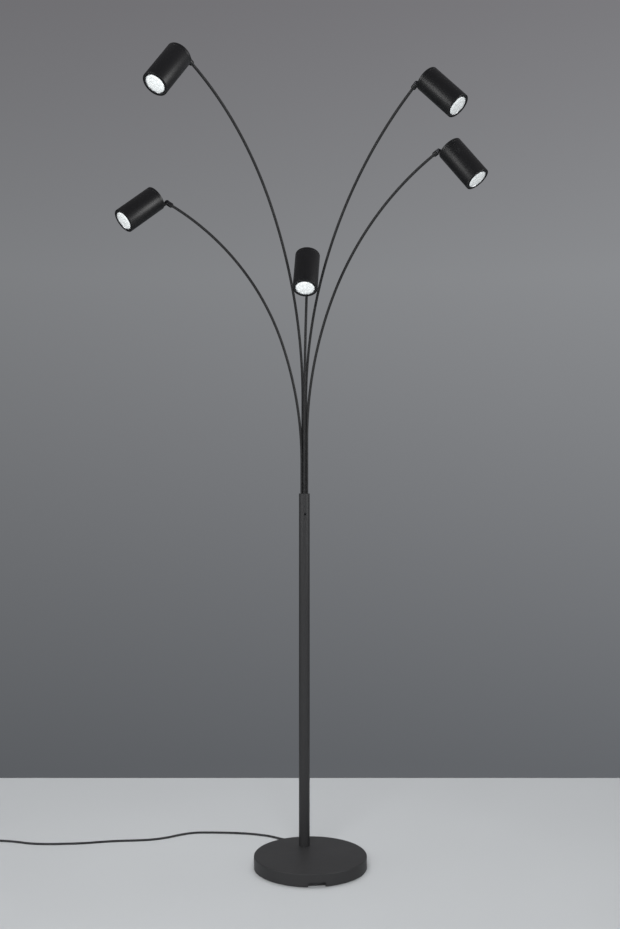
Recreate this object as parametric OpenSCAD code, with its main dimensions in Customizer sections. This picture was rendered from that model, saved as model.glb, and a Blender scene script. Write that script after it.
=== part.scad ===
// Tree floor lamp: a weighted round base, one pole and five curved arms, each with a spotlight
// on a knuckle that swivels and tilts, and a mains cord with a foot switch and a flat plug.
// Millimetres, +Z up, -Y is the front. The origin is on the floor under the middle of the base.
// The arms are a to e: upper left, upper right, lower right, lower left and middle.

/* [Base] */
// Diameter of the base cover
base_d = 255; // [245:1:320]
// Height of the base, from the floor to the top of its cover
base_h = 29; // [24:0.5:40]
// Sheet thickness of the base cover
cover_wall = 1.5; // [1:0.1:2]
// Gap between the floor and the lower edge of the cover
cover_lift = 1; // [0.5:0.5:2]
// Outer radius of the cover's rounded upper edge
cover_edge_r = 3; // [2:0.5:6]
// Gap between the cast-iron weight and the inside of the cover's wall
weight_gap = 7.5; // [2:0.5:15]
// Distance of the rubber pad's edge inside the weight's edge
pad_inset = 2; // [0:0.5:20]
// Thickness of the rubber pad
pad_t = 3; // [2:0.5:4]
// Width of each cord notch in the cover's lower edge
notch_w = 38; // [20:1:50]
// Height of each cord notch above the floor
notch_h = 10; // [9:0.5:12]
// Direction of the front notch, from the front towards the right
notch_front_az = 6.5; // [0:0.5:20]

/* [Pole] */
// Pole's place across the base, from the middle towards the right
pole_x = -14; // [-30:1:30]
// Pole's place along the base, from the middle towards the back
pole_y = 60; // [30:1:70]
// Outer diameter of the pole
pole_d = 25; // [24:0.5:32]
// Wall of the pole
pole_wall = 1.5; // [1:0.1:1.5]
// Length of the pole above the base cover
pole_len = 813; // [500:1:1000]
// Length of the steel plug in the pole's foot
foot_len = 24; // [20:1:40]
// Outer diameter of the hollow threaded nipple that clamps the pole to the base
nipple_d = 10; // [9:0.5:12]
// Bore of the nipple
nipple_bore = 7; // [6:0.5:7.5]
// Diameter of the recess under the weight that holds the nut
nut_recess_d = 34; // [30:1:50]
// Thickness of the weight above that recess
nut_web = 6; // [5:0.5:8]
// Diameter of the washer on the nipple
washer_d = 22; // [20:1:28]
// Thickness of the washer
washer_t = 1.5; // [1:0.5:2]
// Size of the nut across its corners
nut_d = 16; // [15:0.5:20]
// Thickness of the nut
nut_t = 4; // [3:0.5:5]

/* [Arm holder] */
// Length of the arm holder in the top of the pole
holder_len = 55; // [50:1:80]
// Radius of the circle that the five arms stand on
arm_ring_r = 6.4; // [6.4:0.1:6.6]
// Depth that each arm stands in the holder
arm_seat = 35; // [20:1:38]
// Diameter of the cup in the lower end of the holder
holder_cup_d = 17; // [16.5:0.5:17.5]
// Depth of that cup
holder_cup = 15; // [12:1:16]
// Distance from the top of the pole down to the set screw
set_screw_drop = 47; // [44:1:48]
// Direction of the set screw, from the front towards the right
set_screw_az = 8; // [-90:1:90]
// Diameter of the set screw
set_screw_d = 5; // [4:0.5:6]
// Diameter of the round hole in the pole in front of it
set_screw_hole_d = 5.6; // [5.5:0.1:8]
// Hexagon socket of the set screw, across its corners
set_screw_hex_d = 2.9; // [2:0.1:3.2]

/* [Arms] */
// Outer diameter of each arm tube
arm_d = 6; // [5.5:0.1:6]
// Wall of each arm tube
arm_wall = 0.8; // [0.5:0.1:0.8]
// Place of each arm on the holder's ring, from the front towards the right: a to e
arm_seat_az = [-144, 144, 72, -72, 0];
// Direction in which each arm leans, from the front towards the right: a to e
arm_az = [-33, 41.5, 52.5, -68.5, 8];
// Straight length of each arm above the pole: a to e
arm_straight = [215, 210, 123, 72, 155];
// Radius of the lower bend of each arm: a to e
arm_low_r = [775, 765, 745, 795, 1000];
// Angle of the lower bend of each arm: a to e
arm_low_bend = [34, 25.5, 25, 20, 5];
// Radius of the upper bend of each arm: a to e
arm_high_r = [635, 820, 630, 540, 1350];
// Angle of the upper bend of each arm: a to e
arm_high_bend = [32.5, 29, 36.5, 42.5, 12];

/* [Knuckles] */
// Turn of each knuckle about its arm's end, as the lamp stands: a to e
head_swivel = [-7, 14, 6, 9.5, -10];
// Angle between each arm's end and its spotlight, as the lamp stands: a to e
head_tilt = [74.5, 82, 79, 66, 130.5];
// Distance from the arm's end to the tilt axis
knuckle_reach = 15; // [14.5:0.5:20]
// Diameter of the fork
fork_d = 11; // [10.5:0.5:12]
// Half the width of the flat floor between the fork's cheeks, before it slopes away
fork_floor = 4; // [3.8:0.1:4]
// Thickness of the ear between the fork's cheeks
ear_t = 5; // [4:0.1:5.4]
// Width of the ear
ear_w = 8; // [6:0.5:8]
// Radius of the ear's round end
ear_r = 4.8; // [4:0.1:5]
// Distance of the tilt axis behind the spotlight's rear face
ear_back = 15; // [14:0.5:20]
// Distance of the tilt axis from the spotlight's axis
ear_side = 21.5; // [18:0.5:22]
// Width of the bar on the rear face that braces the ear
ear_bar_w = 8; // [6:0.5:8]
// Height of that bar behind the rear face
ear_bar_h = 8; // [4:0.5:8]
// Diameter of the pivot screw's shank
pivot_d = 4; // [3:0.1:4.2]
// Diameter of the pivot screw's head
pivot_head_d = 7; // [6:0.5:8]
// Height of the pivot screw's head and of its nut
pivot_head_t = 2.2; // [1.5:0.1:3]
// Diameter of the journal that the fork turns on
journal_d = 4.5; // [4:0.1:5]
// Thickness of the fork's web that turns on the journal
web_t = 2.4; // [2:0.1:2.4]
// Diameter of the flange under the fork
flange_d = 8; // [7:0.5:10]
// Thickness of that flange
flange_t = 1.2; // [1:0.1:1.2]
// Diameter of the head that keeps the fork on its journal
keeper_d = 7; // [6:0.1:7.2]
// Thickness of that head
keeper_t = 1.1; // [0.8:0.1:1.1]
// Length of the journal piece's plug in the arm tube
tip_plug = 8; // [5:1:15]
// Bore of the journal piece for the lead
tip_bore = 2.6; // [2.4:0.1:3]

/* [Spotlights] */
// Outer diameter of each spotlight
head_d = 55; // [54.5:0.5:65]
// Length of each spotlight from its rear face to its front edge
head_len = 96; // [94:1:120]
// Wall of the spotlight's shell
shell_wall = 1.5; // [1:0.1:1.5]
// Height of the rear cap's rim
cap_rim = 6; // [5:0.5:8]
// Thickness of the rear cap's floor
cap_floor = 3; // [2:0.5:4]
// Wall of the rear cap's skirt inside the shell
cap_skirt_wall = 2; // [1.5:0.1:3]
// Depth of that skirt in the shell
cap_skirt = 5; // [3:0.5:8]
// Chamfer of the cap's and the shell's outer edges
edge_chamfer = 0.6; // [0.3:0.1:1]
// Diameter of the lamp's front
lamp_d = 50; // [49:0.5:50.5]
// Length of the lamp without its pins
lamp_len = 54; // [50:1:56]
// Diameter of the lamp's foot
lamp_foot_d = 24; // [20:1:26]
// Length of the lamp's straight foot
lamp_foot_len = 14; // [10:1:18]
// Height of the lamp's straight front rim
lamp_rim = 9; // [6:0.5:12]
// Distance that the lamp's lens stands in front of the lamp's rim
lens_stand = 3.4; // [1:0.1:4]
// Distance between the lamp's two pins
lamp_pin_gap = 10; // [9:0.5:11]
// Diameter of each lamp pin
lamp_pin_d = 4.8; // [3:0.1:5]
// Length of each lamp pin
lamp_pin_len = 6; // [5:0.5:7]
// Diameter of the lamp socket
socket_d = 28; // [26:0.5:32]
// Height of the lamp socket
socket_h = 16; // [12:1:20]
// Sheet thickness of the socket's bracket
bracket_t = 1; // [0.8:0.1:1.5]
// Width of the socket's bracket
bracket_w = 12; // [8:1:16]
// Inner diameter of the front ring
ring_bore = 43; // [38:0.5:45]
// Thickness of the front ring
ring_t = 2.5; // [1.5:0.1:3]
// Depth of the front ring behind the shell's front edge
ring_inset = 1; // [0.5:0.5:2]

/* [Cord] */
// Diameter of the mains cord
cord_d = 5; // [4.6:0.1:5]
// Diameter of the lead in each arm
lead_d = 2.2; // [1.5:0.1:2.2]
// Height of the cord above the floor where it leaves the base
cord_exit_z = 6.5; // [6.5:0.1:6.6]
// Width of the cord groove under the weight
groove_w = 7; // [6:0.5:9]
// Height of the cord groove above the pad
groove_h = 7; // [6.5:0.5:8]
// Width of the strain relief's block in the weight's edge
relief_w = 14; // [12:1:18]
// Length of that block
relief_block = 8; // [6:1:12]
// Distance of that block from the weight's edge
relief_inset = 6; // [4:1:12]
// Diameter of the strain relief's neck in the cord groove
relief_neck_d = 6.5; // [5.6:0.1:6.6]
// Largest diameter of the strain relief's sleeve
relief_d = 8.5; // [8:0.5:10]
// Diameter of the sleeve at its thin end
relief_tip_d = 6.2; // [5.8:0.1:7]
// Distance of the sleeve's thin end behind the base
relief_out = 25; // [20:1:45]
// Diameter of the insulating block in the pole that joins the leads
joint_d = 18; // [17:0.5:21]
// Height of that block
joint_h = 28; // [20:1:40]
// Distance from the arm holder down to that block
joint_drop = 12; // [5:1:30]

/* [Foot switch] */
// Length of the switch between its collars
switch_len = 76; // [70:1:90]
// Width of the switch
switch_w = 36; // [34:1:50]
// Height of its lower half
switch_low_h = 9; // [9:0.5:12]
// Height of the whole casing
switch_h = 20; // [18:0.5:26]
// Wall of the casing
switch_wall = 2; // [1.5:0.1:2.5]
// Diameter of the foot button
button_d = 24; // [18:1:26]
// Height of the button above the casing
button_rise = 3.5; // [3:0.5:5]
// Travel of the button
button_travel = 2.5; // [1:0.5:3]
// Width of the button's rim under the casing
button_lip = 1.5; // [1:0.5:2]
// Diameter of each collar where the cord enters
collar_d = 9; // [8:0.5:10]
// Length of each collar
collar_len = 10; // [5:1:15]

/* [Plug] */
// Width of the plug's body
plug_w = 35; // [32:1:38]
// Thickness of the plug's body
plug_t = 13.7; // [13.5:0.1:15]
// Length of the plug's body
plug_len = 37; // [30:1:42]
// Width of the plug's body at the cord
plug_neck_w = 16; // [14:1:20]
// Length of the plug's cord sleeve
plug_sleeve = 20; // [15:1:30]
// Diameter of that sleeve at the plug
plug_sleeve_d = 9; // [8:0.5:11]
// Diameter of each plug pin
plug_pin_d = 4; // [3.8:0.1:4.8]
// Length of each plug pin
plug_pin_len = 19; // [17:1:20]
// Distance between the plug's pins
plug_pin_gap = 18.6; // [17:0.1:19]

/* [Hidden] */
LETTERS = ["a", "b", "c", "d", "e"];
ARM_PIECES = ["arm_tube", "fork", "pivot_screw", "rear_cap", "shell", "lamp_socket", "lamp", "front_ring"];

$fn = 48;
fine_fn = 96;
slip = 0.05;          // radial clearance of a running or sliding fit
gap = 0.2;            // side clearance between pieces that move
eps = 0.01;           // how far a cut runs past the face that it opens

// Base
cover_top = base_h - cover_wall;
weight_d = base_d - 2 * (cover_wall + weight_gap);
pad_d = weight_d - 2 * pad_inset;
pole_top = base_h + pole_len;
pole_bore = pole_d - 2 * pole_wall;
recess_top = cover_top - nut_web;
nipple_low = recess_top - washer_t - nut_t;
foot_web = 4;                             // thickness of the foot plug above the nipple
clamp_up = foot_len - foot_web;           // height of the nipple's thread above the cover
nipple_hole_d = nipple_d + 2 * gap;
rim_y = sqrt(pow(weight_d / 2, 2) - pow(pole_x, 2));    // weight's edge behind the pole
relief_y = rim_y - relief_inset - relief_block;         // strain relief's inner end
relief_end_y = base_d / 2 + relief_out;                 // thin end of its sleeve
lead_bend_r = 7;                          // bend of the lead under the nipple

// Arm holder
arm_bore = arm_d - 2 * arm_wall;
draw_down = 0.1;      // step in diameter from one bend of a tube to the next
draw_lap = 1;         // length by which a bend starts inside the one before
arm_hole_d = arm_d + 2 * slip;
lead_slack = 0.5;     // radial clearance of a lead in its hole
lead_hole_d = lead_d + 2 * lead_slack;
set_screw_inset = 0.5;    // depth of the set screw's outer face in the pole
set_screw_hex_depth = 2;  // depth of its hexagon socket
screw_out_r = pole_d / 2 - set_screw_inset;
joint_top = pole_top - holder_len - joint_drop;

// Knuckle, measured along the arm's end
fork_low = flange_t + gap / 2;
fork_web_top = fork_low + web_t;
journal_top = fork_web_top + gap / 2;
slot_low = journal_top + keeper_t + 0.3;
slot_w = ear_t + 2 * gap;
cheek_face = fork_d / 2 - 0.9;            // flat of each cheek, from the fork's middle
fork_end_r = fork_d / 2;
cheek_flat_d = pivot_head_d + 1.8;

// Spotlight, measured along its axis from its rear face
shell_bore = head_d - 2 * shell_wall;
skirt_d = shell_bore - 2 * slip;
skirt_top = cap_rim + cap_skirt;
ring_front = head_len - ring_inset;
lamp_front = ring_front - ring_t;
lamp_back = lamp_front - lamp_len;
socket_low = lamp_back - socket_h;
bracket_d = 36;                           // distance between the bracket's two outer faces

// Foot switch and plug, which lie outside the lamp's left side
cord_z = cord_d / 2;
switch_x = -838;
switch_y = 173;
switch_end = switch_len / 2 + collar_len;
button_hole_d = button_d + 2 * gap;
button_lip_t = 1.5;
coil_mid = [-956, 220];
coil_in_r = 20;                           // inner radius of the coil
coil_rows = 4;
coil_layers = 2;
coil_out_r = coil_in_r + coil_rows * cord_d;
coil_turn_r = coil_out_r - cord_d / 2;    // middle of the outermost turn
plug_y = coil_mid[1] + coil_turn_r;
plug_tip_x = coil_mid[0] + coil_out_r;    // cord end of the plug's sleeve
plug_z = plug_t / 2;

// The route of the cord from the base to the foot switch
BASE_ROUTE = [
    [pole_x, relief_end_y, cord_exit_z], [pole_x - 1, relief_end_y + 8, 5],
    [pole_x - 6, relief_end_y + 18, 3.5], [-32, 176, cord_z],
    [-48, 179, cord_z], [-66, 185, cord_z], [-82, 196, cord_z], [-100, 208, cord_z],
    [-120, 217, cord_z], [-148, 226, cord_z], [-184, 232, cord_z], [-215, 235, cord_z],
    [-245, 236, cord_z], [-285, 234, cord_z], [-318, 219, cord_z], [-345, 200, cord_z],
    [-380, 184, cord_z], [-418, 177, cord_z], [-460, 173, cord_z], [-500, 166, cord_z],
    [-540, 157, cord_z], [-585, 152, cord_z], [-630, 150, cord_z], [-668, 154, cord_z],
    [-700, 164, cord_z], [-726, 171, cord_z], [-752, 174, 3], [-775, 173.5, 5],
    [switch_x + switch_end, switch_y, cord_exit_z]];
// The short runs from the switch to the coil and from the coil to the plug
SWITCH_RUN = [
    [switch_x - switch_end, switch_y, cord_exit_z], [-900, 173.2, 4.6], [-914, 176, cord_z],
    [-930, 181, cord_z], [coil_mid[0] + 12, coil_mid[1] - coil_turn_r, cord_z]];
ring_step = 12.5;     // distance between two rings of the cord
cord_sides = 10;

// --- Shapes that several pieces share ---

module ring_z(outer_d, inner_d, h, fn = fine_fn) {
    difference() {
        cylinder(d = outer_d, h = h, $fn = fn);
        translate([0, 0, -eps]) cylinder(d = inner_d, h = h + 2 * eps, $fn = fn);
    }
}

// A bar of diameter d along Y, from y0 to y1
module bar_y(d, y0, y1) {
    translate([0, y0, 0]) rotate([-90, 0, 0]) cylinder(d = d, h = y1 - y0);
}

// A bar of diameter d along X, from x0 to x1
module bar_x(d, x0, x1, fn = $fn) {
    translate([x0, 0, 0]) rotate([0, 90, 0]) cylinder(d = d, h = x1 - x0, $fn = fn);
}

module at_pole() { translate([pole_x, pole_y, 0]) children(); }

// Turns a piece drawn towards the front (-Y) to an azimuth, from the front towards the right
module facing(az) { rotate([0, 0, az]) children(); }

// --- Base ---

module base_pad() {
    color("#1a1a1a") cylinder(d = pad_d, h = pad_t, $fn = fine_fn);
}

module base_weight() {
    color("#4a4a4c") difference() {
        translate([0, 0, pad_t]) cylinder(d = weight_d, h = cover_top - pad_t, $fn = fine_fn);
        at_pole() {
            translate([0, 0, pad_t - eps]) cylinder(d = nut_recess_d, h = recess_top - pad_t + eps);
            cylinder(d = nipple_hole_d, h = base_h);
        }
        translate([pole_x - groove_w / 2, pole_y, pad_t - eps]) cube([groove_w, weight_d, groove_h + eps]);
        translate([pole_x - relief_w / 2 - slip, relief_y - slip, pad_t - eps])
            cube([relief_w + 2 * slip, relief_block + 2 * slip, groove_h + eps]);
    }
}

// A cord notch, cut through the cover's wall towards the front
module notch_cut(through) {
    translate([-notch_w / 2, -base_d, 0]) cube([notch_w, base_d - through, notch_h]);
}

module base_cover() {
    r = base_d / 2;
    color("#2b2b2d") difference() {
        rotate_extrude($fn = fine_fn) difference() {
            union() {
                translate([0, cover_lift]) square([r, base_h - cover_edge_r - cover_lift]);
                translate([0, cover_lift]) square([r - cover_edge_r, base_h - cover_lift]);
                translate([r - cover_edge_r, base_h - cover_edge_r]) circle(r = cover_edge_r);
            }
            translate([-1, -1]) square([r - cover_wall + 1, cover_top + 1]);
        }
        at_pole() cylinder(d = nipple_hole_d, h = base_h + 1);
        facing(notch_front_az) notch_cut(base_d / 4);
        translate([pole_x, 0, 0]) facing(180) notch_cut(base_d / 4);
    }
}

// Hollow threaded nipple with its washer and nut
module base_clamp() {
    color("#b8b8bc") at_pole() {
        translate([0, 0, nipple_low]) ring_z(nipple_d, nipple_bore, base_h + clamp_up - nipple_low, $fn);
        translate([0, 0, recess_top - washer_t]) ring_z(washer_d, nipple_d + 2 * slip, washer_t, $fn);
        translate([0, 0, recess_top - washer_t - nut_t]) difference() {
            cylinder(d = nut_d, h = nut_t, $fn = 6);
            translate([0, 0, -eps]) cylinder(d = nipple_d + 2 * slip, h = nut_t + 2 * eps);
        }
    }
}

// --- Pole ---

module pole_foot() {
    color("#8c8c90") at_pole() translate([0, 0, base_h]) difference() {
        cylinder(d = pole_bore - 2 * slip, h = foot_len);
        translate([0, 0, -eps]) cylinder(d = nipple_d + 2 * slip, h = clamp_up + eps);
        cylinder(d = nipple_bore, h = foot_len + 1);
    }
}

// The radial hole or screw under the holder, drawn along Y from r0 to r1
module set_screw_bar(d, r0, r1) {
    translate([0, 0, pole_top - set_screw_drop]) facing(set_screw_az) bar_y(d, -r1, -r0);
}

module pole() {
    color("#2b2b2d") at_pole() difference() {
        translate([0, 0, base_h]) ring_z(pole_d, pole_bore, pole_len);
        set_screw_bar(set_screw_hole_d, pole_bore / 2 - 1, pole_d / 2 + 1);
    }
}

// Places a child at each arm's seat in the top of the pole
module at_seat(i) {
    at_pole() translate([arm_ring_r * sin(arm_seat_az[i]), -arm_ring_r * cos(arm_seat_az[i]), pole_top])
        children();
}

module arm_holder() {
    low = pole_top - holder_len;
    color("#232325") difference() {
        at_pole() translate([0, 0, low]) cylinder(d = pole_bore - 2 * slip, h = holder_len);
        at_pole() translate([0, 0, low - eps]) cylinder(d = holder_cup_d, h = holder_cup + eps);
        at_pole() set_screw_bar(set_screw_d, 0, pole_d);
        for (i = [0 : 4]) at_seat(i) {
            translate([0, 0, -arm_seat]) cylinder(d = arm_hole_d, h = arm_seat + 1);
            translate([0, 0, -holder_len]) cylinder(d = lead_hole_d, h = holder_len);
        }
    }
}

module holder_screw() {
    color("#3a3a3c") at_pole() difference() {
        set_screw_bar(set_screw_d, holder_cup_d / 2, screw_out_r);
        translate([0, 0, pole_top - set_screw_drop]) facing(set_screw_az)
            translate([0, set_screw_hex_depth - screw_out_r, 0]) rotate([90, 0, 0])
                cylinder(d = set_screw_hex_d, h = set_screw_hex_depth + 1, $fn = 6);
    }
}

// --- Arms ---

// The round section of a tube, or of a bar where its bore is 0 or less
module round_section(d, bore) {
    difference() {
        circle(d = d, $fn = 24);
        if (bore > 0) circle(d = bore, $fn = 24);
    }
}

// An arc of a child section, from the origin up and over towards -Y, with a lap behind its start
module bend(r, angle, lap = 0) {
    behind = lap / r * 180 / PI;
    translate([0, -r, 0]) rotate([-behind, 0, 0]) rotate([90, 0, 90])
        rotate_extrude(angle = angle + behind, $fn = 360) translate([r, 0]) children();
}

// Moves a child from the foot of an arc to its end
module past_bend(r, bend) {
    translate([0, -r * (1 - cos(bend)), r * sin(bend)]) rotate([bend, 0, 0]) children();
}

// A tube that follows arm i from z0 below the pole's top to z1 past the arm's end. Each bend
// after the first is drawn down a little, so that it starts inside the one before.
module arm_run(i, d, bore, z0, z1 = 0) {
    at_seat(i) facing(arm_az[i]) {
        translate([0, 0, z0]) linear_extrude(arm_straight[i] - z0) round_section(d, bore);
        translate([0, 0, arm_straight[i]]) {
            bend(arm_low_r[i], arm_low_bend[i]) round_section(d, bore);
            past_bend(arm_low_r[i], arm_low_bend[i]) {
                bend(arm_high_r[i], arm_high_bend[i], draw_lap)
                    round_section(d - draw_down, bore - draw_down);
                if (z1 > 0) past_bend(arm_high_r[i], arm_high_bend[i])
                    translate([0, 0, -draw_lap]) cylinder(d = d - 2 * draw_down, h = z1 + draw_lap, $fn = 24);
            }
        }
    }
}

// Places a child at the end of arm i, with +Z along the arm
module at_arm_end(i) {
    at_seat(i) facing(arm_az[i]) translate([0, 0, arm_straight[i]])
        past_bend(arm_low_r[i], arm_low_bend[i]) past_bend(arm_high_r[i], arm_high_bend[i]) children();
}

module arm_tube(i) {
    color("#2b2b2d") arm_run(i, arm_d, arm_bore, -arm_seat);
}

module arm_leads() {
    color("#111111") for (i = [0 : 4]) arm_run(i, lead_d, 0, joint_top - pole_top, journal_top + keeper_t);
}

module arm_tip() {
    difference() {
        union() {
            translate([0, 0, -tip_plug])
                cylinder(d = arm_bore - draw_down - 2 * slip, h = tip_plug + flange_t / 2);
            cylinder(d = flange_d, h = flange_t);
            cylinder(d = journal_d, h = journal_top + keeper_t / 2);
            translate([0, 0, journal_top]) cylinder(d = keeper_d, h = keeper_t);
        }
        translate([0, 0, -tip_plug - 1]) cylinder(d = tip_bore, h = tip_plug + journal_top + keeper_t + 2);
    }
}

module arm_tips() {
    color("#6e6e72") for (i = [0 : 4]) at_arm_end(i) arm_tip();
}

// --- Knuckles ---

// Places a child at knuckle i, turned with its fork, with X along the tilt axis
module at_swivel(i) { at_arm_end(i) rotate([0, 0, head_swivel[i]]) children(); }

// Places a child on the tilt axis, turned with spotlight i
module at_tilt(i) { at_swivel(i) translate([0, 0, knuckle_reach]) rotate([head_tilt[i], 0, 0]) children(); }

// Places a child at the rear face of spotlight i, with +Z along its beam
module at_head(i) { at_tilt(i) translate([0, ear_side, ear_back]) children(); }

module fork(i) {
    color("#2b2b2d") at_swivel(i) difference() {
        union() {
            translate([0, 0, fork_low]) cylinder(d = fork_d, h = knuckle_reach - fork_low);
            intersection() {
                translate([0, 0, knuckle_reach - eps]) cylinder(d = fork_d, h = fork_end_r + eps);
                translate([0, 0, knuckle_reach]) bar_x(2 * fork_end_r, -fork_d, fork_d);
            }
        }
        cylinder(d = journal_d + 2 * slip, h = fork_web_top + eps);
        translate([0, 0, fork_web_top]) cylinder(d = keeper_d + 2 * gap, h = slot_low - fork_web_top + eps);
        translate([-slot_w / 2, 0, 0]) rotate([90, 0, 90]) linear_extrude(slot_w) polygon([
            [-fork_d, 2 * fork_d + knuckle_reach], [-fork_d, slot_low + fork_floor - fork_d],
            [-fork_floor, slot_low], [fork_floor, slot_low],
            [fork_d, slot_low + fork_floor - fork_d], [fork_d, 2 * fork_d + knuckle_reach]]);
        translate([0, 0, knuckle_reach]) {
            bar_x(pivot_d + slip, -fork_d, fork_d);
            for (side = [0, 180]) rotate([0, 0, side]) bar_x(cheek_flat_d, cheek_face, fork_d);
        }
    }
}

// Pivot screw with its nut
module pivot_screw(i) {
    color("#77777b") at_swivel(i) translate([0, 0, knuckle_reach]) {
        difference() {
            union() {
                bar_x(pivot_d, -cheek_face - pivot_head_t, cheek_face + pivot_head_t / 4);
                bar_x(pivot_head_d, cheek_face, cheek_face + pivot_head_t);
            }
            bar_x(pivot_d * 0.6, cheek_face + pivot_head_t / 2, cheek_face + pivot_head_t + 1, 6);
        }
        difference() {
            bar_x(pivot_head_d, -cheek_face - pivot_head_t, -cheek_face, 6);
            bar_x(pivot_d + slip, -fork_d, 0);
        }
    }
}

// --- Spotlights ---

module rear_cap(i) {
    color("#2b2b2d") at_head(i) difference() {
        union() {
            rotate_extrude($fn = fine_fn) polygon([
                [0, 0], [head_d / 2 - edge_chamfer, 0], [head_d / 2, edge_chamfer],
                [head_d / 2, cap_rim - edge_chamfer], [head_d / 2 - edge_chamfer, cap_rim],
                [skirt_d / 2, cap_rim], [skirt_d / 2, skirt_top], [skirt_d / 2 - cap_skirt_wall, skirt_top],
                [skirt_d / 2 - cap_skirt_wall, cap_floor], [0, cap_floor]]);
            translate([0, -ear_side, -ear_back]) bar_x(2 * ear_r, -ear_t / 2, ear_t / 2);
            translate([-ear_t / 2, -ear_side - ear_w / 2, -ear_back])
                cube([ear_t, ear_w, ear_back + cap_floor / 2]);
            translate([-ear_bar_w / 2, -ear_side + ear_w / 4, -ear_bar_h])
                cube([ear_bar_w, ear_side - ear_w / 4, ear_bar_h + cap_floor / 2]);
            translate([0, 0, -ear_bar_h]) cylinder(d = ear_bar_w, h = ear_bar_h + cap_floor / 2);
        }
        translate([0, -ear_side, -ear_back]) bar_x(pivot_d + 2 * slip, -ear_t, ear_t);
    }
}

module shell(i) {
    color("#2b2b2d") at_head(i) rotate_extrude($fn = fine_fn) polygon([
        [shell_bore / 2, cap_rim], [head_d / 2 - edge_chamfer, cap_rim], [head_d / 2, cap_rim + edge_chamfer],
        [head_d / 2, head_len - edge_chamfer], [head_d / 2 - edge_chamfer, head_len],
        [shell_bore / 2, head_len]]);
}

// Lamp socket on its strap, which stands on the rear cap and is let into the socket's foot
module lamp_socket(i) {
    let_in = bracket_t / 2;
    half = bracket_d / 2;
    color("#e8e4da") at_head(i) difference() {
        translate([0, 0, socket_low - let_in]) cylinder(d = socket_d, h = socket_h + let_in);
        for (side = [-1, 1]) translate([side * lamp_pin_gap / 2, 0, lamp_back - lamp_pin_len - 1])
            cylinder(d = lamp_pin_d + 2 * slip, h = lamp_pin_len + 2);
    }
    color("#c8c8cc") at_head(i) translate([0, bracket_w / 2, 0]) rotate([90, 0, 0])
        linear_extrude(bracket_w) polygon([
            [-half, cap_floor], [bracket_t - half, cap_floor], [bracket_t - half, socket_low - bracket_t],
            [half - bracket_t, socket_low - bracket_t], [half - bracket_t, cap_floor], [half, cap_floor],
            [half, socket_low], [-half, socket_low]]);
}

module lamp(i) {
    rim_low = lamp_front - lamp_rim;
    foot_top = lamp_back + lamp_foot_len;
    lens_top = lamp_front + lens_stand;
    lens_r = ring_bore / 2 - gap;
    color("#f4f2ea") at_head(i) {
        rotate_extrude($fn = fine_fn) polygon([
            [0, lamp_back], [lamp_foot_d / 2, lamp_back], [lamp_foot_d / 2, foot_top],
            [lamp_d / 2, rim_low], [lamp_d / 2, lamp_front], [lens_r, lamp_front],
            [lens_r, lens_top - 0.8], [lens_r - 0.8, lens_top], [0, lens_top]]);
        for (side = [-1, 1]) translate([side * lamp_pin_gap / 2, 0, lamp_back - lamp_pin_len])
            cylinder(d = lamp_pin_d, h = lamp_pin_len + lamp_foot_len / 2);
    }
}

module front_ring(i) {
    color("#1d1d1f") at_head(i) translate([0, 0, lamp_front]) ring_z(shell_bore - 2 * slip, ring_bore, ring_t);
}

// --- Leads inside the lamp ---

module lead_joint() {
    color("#e8e4da") at_pole() translate([0, 0, joint_top - joint_h]) cylinder(d = joint_d, h = joint_h);
}

// Lead from the strain relief through the weight and the nipple to the joint block
module pole_lead() {
    rise = cord_exit_z + lead_bend_r;
    color("#111111") at_pole() {
        translate([0, 0, rise]) {
            cylinder(d = cord_d, h = joint_top - joint_h - rise, $fn = 24);
            rotate([180, 0, 0]) bend(lead_bend_r, 90) circle(d = cord_d, $fn = 24);
        }
        translate([0, lead_bend_r, cord_exit_z]) rotate([-90, 0, 0])
            cylinder(d = cord_d, h = relief_end_y - pole_y - lead_bend_r, $fn = 24);
    }
}

// --- Mains cord ---

module strain_relief() {
    taper_y = base_d / 2 + 1;
    color("#141414") difference() {
        union() {
            translate([pole_x - relief_w / 2, relief_y, pad_t]) cube([relief_w, relief_block, groove_h]);
            translate([pole_x, 0, cord_exit_z]) {
                bar_y(relief_neck_d, relief_y + 1, taper_y + 1);
                translate([0, taper_y, 0]) rotate([-90, 0, 0])
                    cylinder(d1 = relief_d, d2 = relief_tip_d, h = relief_end_y - taper_y);
            }
        }
        translate([pole_x, 0, cord_exit_z]) bar_y(cord_d, 0, base_d);
    }
}

function dist(a, b) = norm(b - a);
// A point on the smooth curve through p, at t from 0 at its first point to 1 at its last
function knot(p, i) = p[max(0, min(len(p) - 1, i))];
function curve(p, t) =
    let (s = t * (len(p) - 1), i = min(floor(s), len(p) - 2), u = s - i,
         a = knot(p, i - 1), b = knot(p, i), c = knot(p, i + 1), d = knot(p, i + 2))
    0.5 * (2 * b + (c - a) * u + (2 * a - 5 * b + 4 * c - d) * pow(u, 2)
           + (3 * b - a - 3 * c + d) * pow(u, 3));
function span(p, i = 1) = i < len(p) ? dist(p[i - 1], p[i]) + span(p, i + 1) : 0;
function unit(v) = v / norm(v);
// Direction of the curve at t, level and along +-X or Y at its two ends where it meets a piece
function heading(p, t) = unit(curve(p, min(1, t + 0.002)) - curve(p, max(0, t - 0.002)));

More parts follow.
